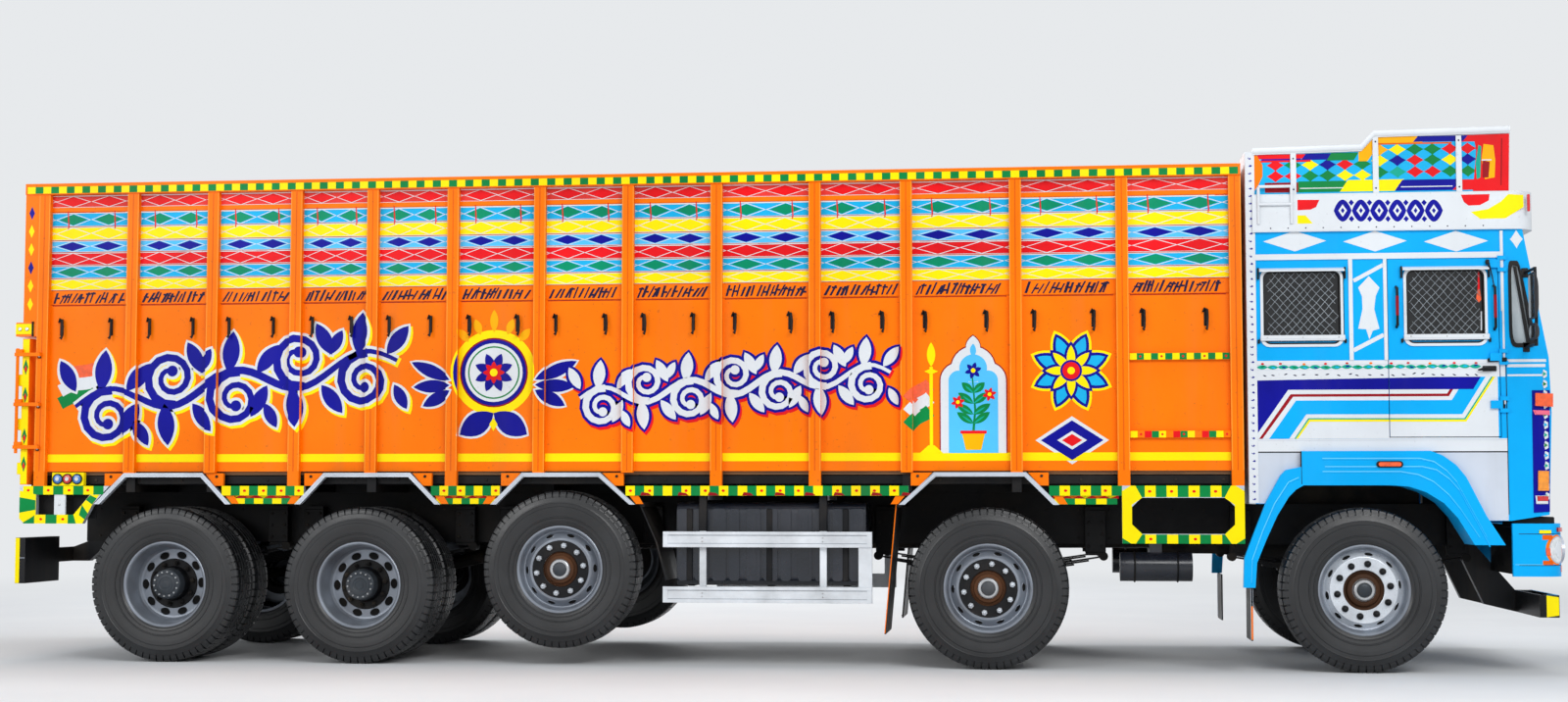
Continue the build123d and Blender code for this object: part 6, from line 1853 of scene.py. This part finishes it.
for k in range(9):
    cu = -0.56 + 0.14 * k
    front.flat(bow_wall(BUMPER_X), [(cu - 0.06, 0.63), (cu, 0.63), (cu + 0.06, 0.925), (cu, 0.925)], 0.0010,
               (YELLOW, NAVY)[k % 2])
for side in front.both_sides():
    bumper_end(front, side)
put = front.painter(bow_wall(BAND_FRONT_X))
put(box(-1.10, 1.10, 2.806, 3.034), 0.0010, WHITE)
lozenge_band(put, -0.92, 0.23, 9, 2.92, ((0.105, 0.085), (0.045, 0.036)), (RED, NAVY, YELLOW))
put = front.painter(bow_wall(CARRIER_FRONT_X))
for k in range(20):
    for row, cv in enumerate((3.13, 3.29)):
        put(lozenge(-1.14 + 0.12 * k, cv, 0.055, 0.070), 0.0012, (RED, YELLOW, NAVY, GREEN)[(k + row) % 4])
front.done("truck", "cab_paint")

under = Build("underrun_ends")
for side in under.both_sides():
    front_end, rear_end = side_wall(side, FRONT_GUARD_Y), side_wall(side, REAR_GUARD_Y)
    under.flat(front_end, [(4.984, 0.354), (5.059, 0.366), (5.059, 0.480), (4.984, 0.491)], 0.0010, YELLOW)
    under.flat(front_end, box(4.944, 4.984, 0.354, 0.491), 0.0010, BLACK)
    for x, y in (((4.985, 5.059), (1.114, 1.129)), ((5.044, 5.059), (0.375, 1.120))):
        under.brick(x, y, (0.490, 0.4945), SKY, 0.001)
    under.flat(rear_end, box(TAIL_X, DOOR_RIB_X, 0.522, 0.828), 0.0010, YELLOW)
    for v0, v1, finish in ((0.690, 0.696, RIM_GREY), (0.524, 0.530, CHASSIS)):
        under.plate(rear_end, box(-5.086, -5.050, v0, v1), 0.0, 0.003, finish)
under.done("truck", "underrun_paint")

# Tail lamps; head lamps as a domed lens over a bright bowl, with a painted surround
TAIL_LAMP_X = -5.004
tail = Build("tail_lamps")
for side in tail.both_sides():
    tail.brick((-5.003, -4.956), (0.640, 1.100), (1.040, 1.140), BLACK, 0.006)
    for k, glass in enumerate((LAMP_RED, LAMP_AMBER, LAMP_RED, LAMP_WHITE)):
        u = side * (0.70 + 0.115 * k)
        inner = rounded(u - 0.044, u + 0.044, 1.054, 1.126, 0.008)
        tail.rim(stern_wall(TAIL_LAMP_X), rounded(u - 0.054, u + 0.054, 1.046, 1.134, 0.012), inner, -0.002,
                 0.012, BLACK)
        tail.plate(stern_wall(TAIL_LAMP_X), inner, 0.0, 0.010, glass)
    cu, cv, bow = side * 0.955, 0.7775, bow_wall(BUMPER_X)
    tail.plate(bow, disc(cu, cv, 0.186, 40, 0.66), 0.0, 0.003, LAMP_ORANGE)
    tail.plate(bow, disc(cu, cv, 0.166, 40, 0.64), 0.002, 0.005, WHITE)
    tail.rim(bow, disc(cu, cv, 0.150, 40, 0.613), disc(cu, cv, 0.134, 40, 0.600), 0.0, 0.030, SILVER)
    for radius, low, high in ((0.134, -0.002, 0.024), (0.120, 0.022, 0.031), (0.092, 0.029, 0.035),
                              (0.050, 0.033, 0.037)):
        tail.plate(bow, disc(cu, cv, radius, 40, 0.60), low, high, LAMP_WHITE)
tail.done("truck", "lamp_lens", ["lamps"])

# Mirrors: shells with faces and arms
MIRROR_X, MIRROR_Y, ARM_X = 4.850, 1.510, 4.873


def mirror_head(mirror, cu, z0, z1):
    """A shell that closes towards the front, with its glass behind."""
    rows, points, half = 8, [], (z1 - z0) / 2
    for i in range(rows + 1):
        t = i / rows
        scale = math.cos(t * math.pi / 2) ** 0.45 if t < 1 else 0.25
        for u, v in rounded(-0.090 * scale, 0.090 * scale, -half * scale, half * scale, 0.035 * scale):
            points.append((MIRROR_X + 0.038 * t, cu + u, (z0 + z1) / 2 + v))
    count = len(points) // (rows + 1)
    mirror.put(points, rings(rows, count) + ends(rows, count), PLASTIC)
    face = rounded(cu - 0.078, cu + 0.078, z0 + 0.014, z1 - 0.014, 0.03)
    mirror.plate(stern_wall(MIRROR_X + 0.0002), face, -0.001, 0.002, MIRROR)


mirror = Build("mirror_heads")
for side in mirror.both_sides():
    for z0, z1 in ((2.204, 2.496), (2.076, 2.180)):
        mirror_head(mirror, side * MIRROR_Y, z0, z1)
    tube_y = MIRROR_Y - 0.001
    for z in (2.050, 2.520):
        mirror.pipe([(4.871, 1.235, z), (4.880, 1.30, z + 0.004), (4.876, 1.45, z + 0.003),
                     (ARM_X, tube_y, z)],
                    0.0105, BLACK, 10)
        mirror.brick((4.850, 4.892), (1.234, 1.243), (z - 0.03, z + 0.03), BLACK, 0.003)
    mirror.pipe([(ARM_X, tube_y, 2.041), (4.878, tube_y, 2.30), (ARM_X, tube_y, 2.530)], 0.0105, BLACK, 10)
mirror.done("truck", "mirror_black", ["mirrors"])


# Seats: crowned pads on a plain base
def squared(angle, power, half=(1, 1)):
    """A point of a rounded square of the half sizes given."""
    c, s = math.cos(angle), math.sin(angle)
    norm = (abs(c) ** power + abs(s) ** power) ** (1 / power)
    return half[0] * c / norm, half[1] * s / norm


def pad_point(unit, bulge, channels, half):
    """Point of a cushion from one of a cube: corners rounded, sides drawn in, top crowned."""
    norm = sum(abs(c) ** 7 for c in unit) ** (1 / 7)
    u, v, w = [c / norm for c in unit]
    crown = (1 - u ** 2) * (1 - v ** 2)
    draw = 1 - bulge * 0.35 * (1 - abs(w))
    z = half[2] * (w * (0.72 + 0.28 * crown ** 0.6))
    if w > 0.5:
        for c in channels:
            z -= 0.012 * math.exp(-((v - c) / 0.035) ** 2)
    return half[0] * u * (1 - 0.02 * (1 - v ** 2)) * draw, half[1] * v * (1 - 0.03 * (1 - u ** 2)) * draw, z


def pad(name, low, high, bulge, channels):
    """Rounded cushion with sewn channels and piping."""
    steps = 18
    centre = [(a + b) / 2 for a, b in zip(low, high)]
    half = [(b - a) / 2 for a, b in zip(low, high)]
    index, points, faces = {}, [], []
    grid = range(steps + 1)
    for key in [(i, j, k) for i in grid for j in grid for k in grid]:
        if 0 in key or steps in key:
            index[key] = len(points)
            unit = [2 * c / steps - 1 for c in key]
            points.append([c + d for c, d in zip(centre, pad_point(unit, bulge, channels, half))])
    for a in range(3):
        b, c = [other for other in range(3) if other != a]
        for end in (0, steps):
            for p in range(steps):
                for q in range(steps):
                    cell = []
                    for dp, dq in ((0, 0), (1, 0), (1, 1), (0, 1)):
                        key = {a: end, b: p + dp, c: q + dq}
                        cell.append(index[key[0], key[1], key[2]])
                    faces.append(outward(points, cell, Vector(centre)))
    build = Build(name)
    build.put(points, faces, SEAT_RED)
    edge = [squared(angle, 7, half) for angle in around(40)]
    build.pipe([(centre[0] + x * 0.99, centre[1] + y * 0.99, centre[2] + half[2] * 0.40) for x, y in edge],
               0.005, SEAT_EDGE, 6, closed=True)
    piece = build.done("truck", "seat_cover", smooth=60)
    return piece


def seat_back(name, y):
    """Upright pad with cross channels, leaning back."""
    back, points, rows, count = Build(name), [], 22, 28
    for i in range(rows + 1):
        t = i / rows
        taper = (1 - (2 * t - 1) ** 8) ** 0.5 if 0 < t < 1 else 0.12
        depth = 0.062 * taper * (1 - 0.10 * math.exp(-((math.sin(t * math.pi * 4)) / 0.2) ** 2))
        for angle in around(count):
            u, v = squared(angle, 4)
            points.append((3.862 - 0.09 * t + depth * u, y + 0.245 * (0.9 + 0.1 * taper) * v,
                           1.83 + 0.59 * t))
    back.put(points, rings(rows, count) + ends(rows, count), SEAT_RED)
    back.done("truck", "seat_cover", smooth=60)


bench = pad("bench_cushion", (3.19, -1.14, 1.78), (3.655, 1.14, 1.90), 0.10, (-0.66, -0.33, 0, 0.33, 0.66))
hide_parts("seats")
base = Build("seat_bases")
base.brick((3.19, 3.63), (-1.145, 1.145), (1.44, 1.79), PLASTIC, 0.012)
for side_name, side in SIDES:
    y = side * 0.62
    base.brick((3.90, 4.28), (y - 0.20, y + 0.20), (1.44, 1.705), PLASTIC, 0.012)
    base.brick((3.86, 4.32), (y - 0.25, y + 0.25), (1.70, 1.725), BLACK, 0.008)
    pad(f"seat_cushion_{side_name}", (3.86, y - 0.255, 1.715), (4.33, y + 0.255, 1.832), 0.12,
        (-0.5, 0, 0.5))
    seat_back(f"seat_back_{side_name}", y)
base.done("truck", "seat_cover")

# Steering wheel
WHEEL_AT, WHEEL_TILT = Vector((4.540, -0.620, 2.010)), math.radians(13)


def on_wheel(radius, angle, h):
    """A point over the tilted plane of the steering wheel."""
    u, v = radius * math.cos(angle), radius * math.sin(angle)
    c, s = math.cos(WHEEL_TILT), math.sin(WHEEL_TILT)
    return WHEEL_AT + Vector((u * c - h * s, v, u * s + h * c))


steering = Build("steering_wheel_rim")
steering.pipe([on_wheel(0.225, angle, 0) for angle in around(48)], 0.0145, PLASTIC, 12, closed=True)
for angle in around(4):
    spoke = [on_wheel(radius, angle, h) for radius, h in ((0.03, -0.006), (0.12, -0.010), (0.222, 0))]
    steering.pipe(spoke, [0.013, 0.010, 0.009], PLASTIC)
steering.pipe([on_wheel(0, 0, h) for h in (-0.55, -0.10, 0.012)], [0.028, 0.027, 0.045], PLASTIC, 16)
steering.done("truck", "wheel_grip", ["steering_wheel"])

# Planks of the body's floor; lining boards inside its sides, with bolts at the posts
floor_boards = Build("floor_planks")
for k in range(13):
    y0 = -1.165 + k * 0.1792
    floor_boards.plate(deck(1.290), box(-5.00, 3.05, y0 + 0.003, y0 + 0.176), -0.004, 0.0035, PLANKS)
floor_boards.done("truck", "timber")

lining = Build("body_lining")
for side in lining.both_sides():
    for k in range(6):
        z0 = 1.300 + 0.185 * k
        lining.plate(side_wall(-side, -1.170), box(-4.96, 3.05, z0 + 0.003, z0 + 0.182), -0.002, 0.005,
                     ORANGE_DEEP if k < 2 else ORANGE)
        for x in POSTS[1:-1]:
            for dz in (0.045, 0.140):
                lining.stud((x, 1.165, z0 + dz), 0.011, 0.004, CAST, 8, True, ahead=(0, -1, 0))
lining.done("truck", "body_paint")

# Roof: pressed ribs under the carrier
ROOF_Z = 3.04
ribs = Build("roof_ribs")
for k in range(11):
    y0 = -1.10 + 0.2125 * k
    ribs.plate(deck(ROOF_Z), rounded(3.26, 4.70, y0, y0 + 0.075, 0.03, 4), -0.002, 0.012, WHITE)
    for x in (3.30, 4.66):
        ribs.stud((x, y0 + 0.037, ROOF_Z + 0.012), 0.008, 0.004, STEEL, 8, True, ahead=(0, 0, 1))
ribs.done("truck", "cab_paint")

# Materials of the carried-over CAD nodes
NODE_FINISH = {
    "chassis_frame": CHASSIS, "axles": CAST, "driveline": CAST, "tanks": TANK, "side_guards": ALUMINIUM,
    "body_underframe": CHASSIS, "cargo_floor": PLANKS, "skirt_frames": SILVER, "mud_flaps": FLAP,
    "cargo_side_right": ORANGE, "cargo_side_left": ORANGE, "headboard": ORANGE, "rear_frame": REAR_ORANGE,
    "rear_door_right": ORANGE, "rear_door_left": ORANGE, "underrun_bars": UNDERRUN,
    "front_bumper": CAB_BLUE,
    "lamps": YELLOW, "cab_floor": CHASSIS, "cab_back": WHITE, "cab_side_right": CAB_BLUE,
    "cab_side_left": CAB_BLUE,
    "cab_door_right": CAB_BLUE, "cab_door_left": CAB_BLUE, "door_glass_right": GLAZING_PAINTED_SHADE,
    "door_glass_left": GLAZING_PAINTED_SHADE,
    "cab_front": CAB_BLUE, "cab_glass": GLAZING, "cab_roof": WHITE, "roof_carrier": WHITE,
    "fenders": CAB_BLUE,
    "dashboard": PLASTIC, "seats": SEAT_RED, "steering_wheel": PLASTIC, "mirrors": BLACK,
    "leaf_springs": CHASSIS,
}
for name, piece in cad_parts.items():
    by_kind = RUBBER if name.startswith("tyre") else RIM_GREY if name.startswith("rim") else CAST
    finish = NODE_FINISH.get(name, by_kind)
    if not piece.material_slots:
        piece.data.materials.append(finish)
    for holder in piece.material_slots:
        holder.material = finish

# Floor, world and lamps
ground = bpy.data.meshes.new("ground")
ground.from_pydata([(-90, -90, 0), (90, -90, 0), (90, 90, 0), (-90, 90, 0)], [], [(0, 1, 2, 3)])
floor = bpy.data.objects.new("ground", ground)
floor.location.z = -0.001
link(floor)
# near the truck the floor is lit; further out it fades into the backdrop's own colour
BACKDROP = (0.80, 0.82, 0.84, 1)


def looked_at(tree):
    """1 for rays of the camera and those that it sees mirrored or through glass."""
    rays = tree.nodes.new("ShaderNodeLightPath").outputs
    found = rays["Is Camera Ray"]
    for kind in ("Is Glossy Ray", "Is Transmission Ray"):
        most = tree.nodes.new("ShaderNodeMath")
        most.operation = "MAXIMUM"
        tree.links.new(found, most.inputs[0])
        tree.links.new(rays[kind], most.inputs[1])
        found = most.outputs[0]
    return found


pale = Finish("pale_floor", Roughness=0.9, Specular_IOR_Level=0.1)
pale.colour(pale.mix(pale.span(pale.noise(0.6, 4), 0.3, 0.7), "D6D8DA", "DCDEDF"))
far = pale.tree.nodes.new("ShaderNodeVectorMath")
far.operation = "LENGTH"
ramp = pale.tree.nodes.new("ShaderNodeMapRange")
ramp.interpolation_type = "SMOOTHERSTEP"
ramp.inputs["From Min"].default_value, ramp.inputs["From Max"].default_value = 6.0, 19.0
fade = pale.tree.nodes.new("ShaderNodeMath")
fade.operation = "MULTIPLY"
pale.tree.links.new(pale.place, far.inputs[0])
pale.tree.links.new(far.outputs["Value"], ramp.inputs["Value"])
pale.tree.links.new(ramp.outputs["Result"], fade.inputs[0])
pale.tree.links.new(looked_at(pale.tree), fade.inputs[1])
glow = pale.tree.nodes.new("ShaderNodeEmission")
glow.inputs["Color"].default_value = BACKDROP
blend = pale.tree.nodes.new("ShaderNodeMixShader")
pale.tree.links.new(fade.outputs[0], blend.inputs[0])
pale.tree.links.new(pale.shader.outputs[0], blend.inputs[1])
pale.tree.links.new(glow.outputs[0], blend.inputs[2])
pale.tree.links.new(blend.outputs[0], pale.tree.nodes["Material Output"].inputs["Surface"])
ground.materials.append(pale.made)

world = bpy.data.worlds.new("studio")
bpy.context.scene.world = world
world.use_nodes = True
tree = world.node_tree
back = tree.nodes["Background"]
back.inputs["Color"].default_value = (0.92, 0.95, 1.0, 1)
back.inputs["Strength"].default_value = 0.55
shown = tree.nodes.new("ShaderNodeBackground")
shown.inputs["Color"].default_value = BACKDROP
pick = tree.nodes.new("ShaderNodeMixShader")
tree.links.new(looked_at(tree), pick.inputs[0])
tree.links.new(back.outputs[0], pick.inputs[1])
tree.links.new(shown.outputs[0], pick.inputs[2])
tree.links.new(pick.outputs[0], tree.nodes["World Output"].inputs["Surface"])


def soft_lamp(name, at, aim, size, watts):
    lamp_data = bpy.data.lights.new(name, "AREA")
    lamp_data.shape = "RECTANGLE"
    lamp_data.size, lamp_data.size_y = size
    lamp_data.energy = watts
    holder = bpy.data.objects.new(name, lamp_data)
    holder.location = at
    holder.rotation_euler = (Vector(aim) - Vector(at)).to_track_quat("-Z", "Y").to_euler()
    link(holder)


soft_lamp("key", (7.0, -13.0, 9.5), (0, 0, 1.4), (9, 6), 1210)
soft_lamp("fill", (-9.0, -12.0, 6.0), (-1, 0, 1.4), (8, 6), 520)
soft_lamp("top", (0, 1.0, 12.0), (0, 0, 1), (12, 6), 730)
soft_lamp("rear", (-4, 13.0, 8.0), (0, 0, 1.5), (9, 6), 750)

bpy.context.scene.view_settings.view_transform = "Standard"
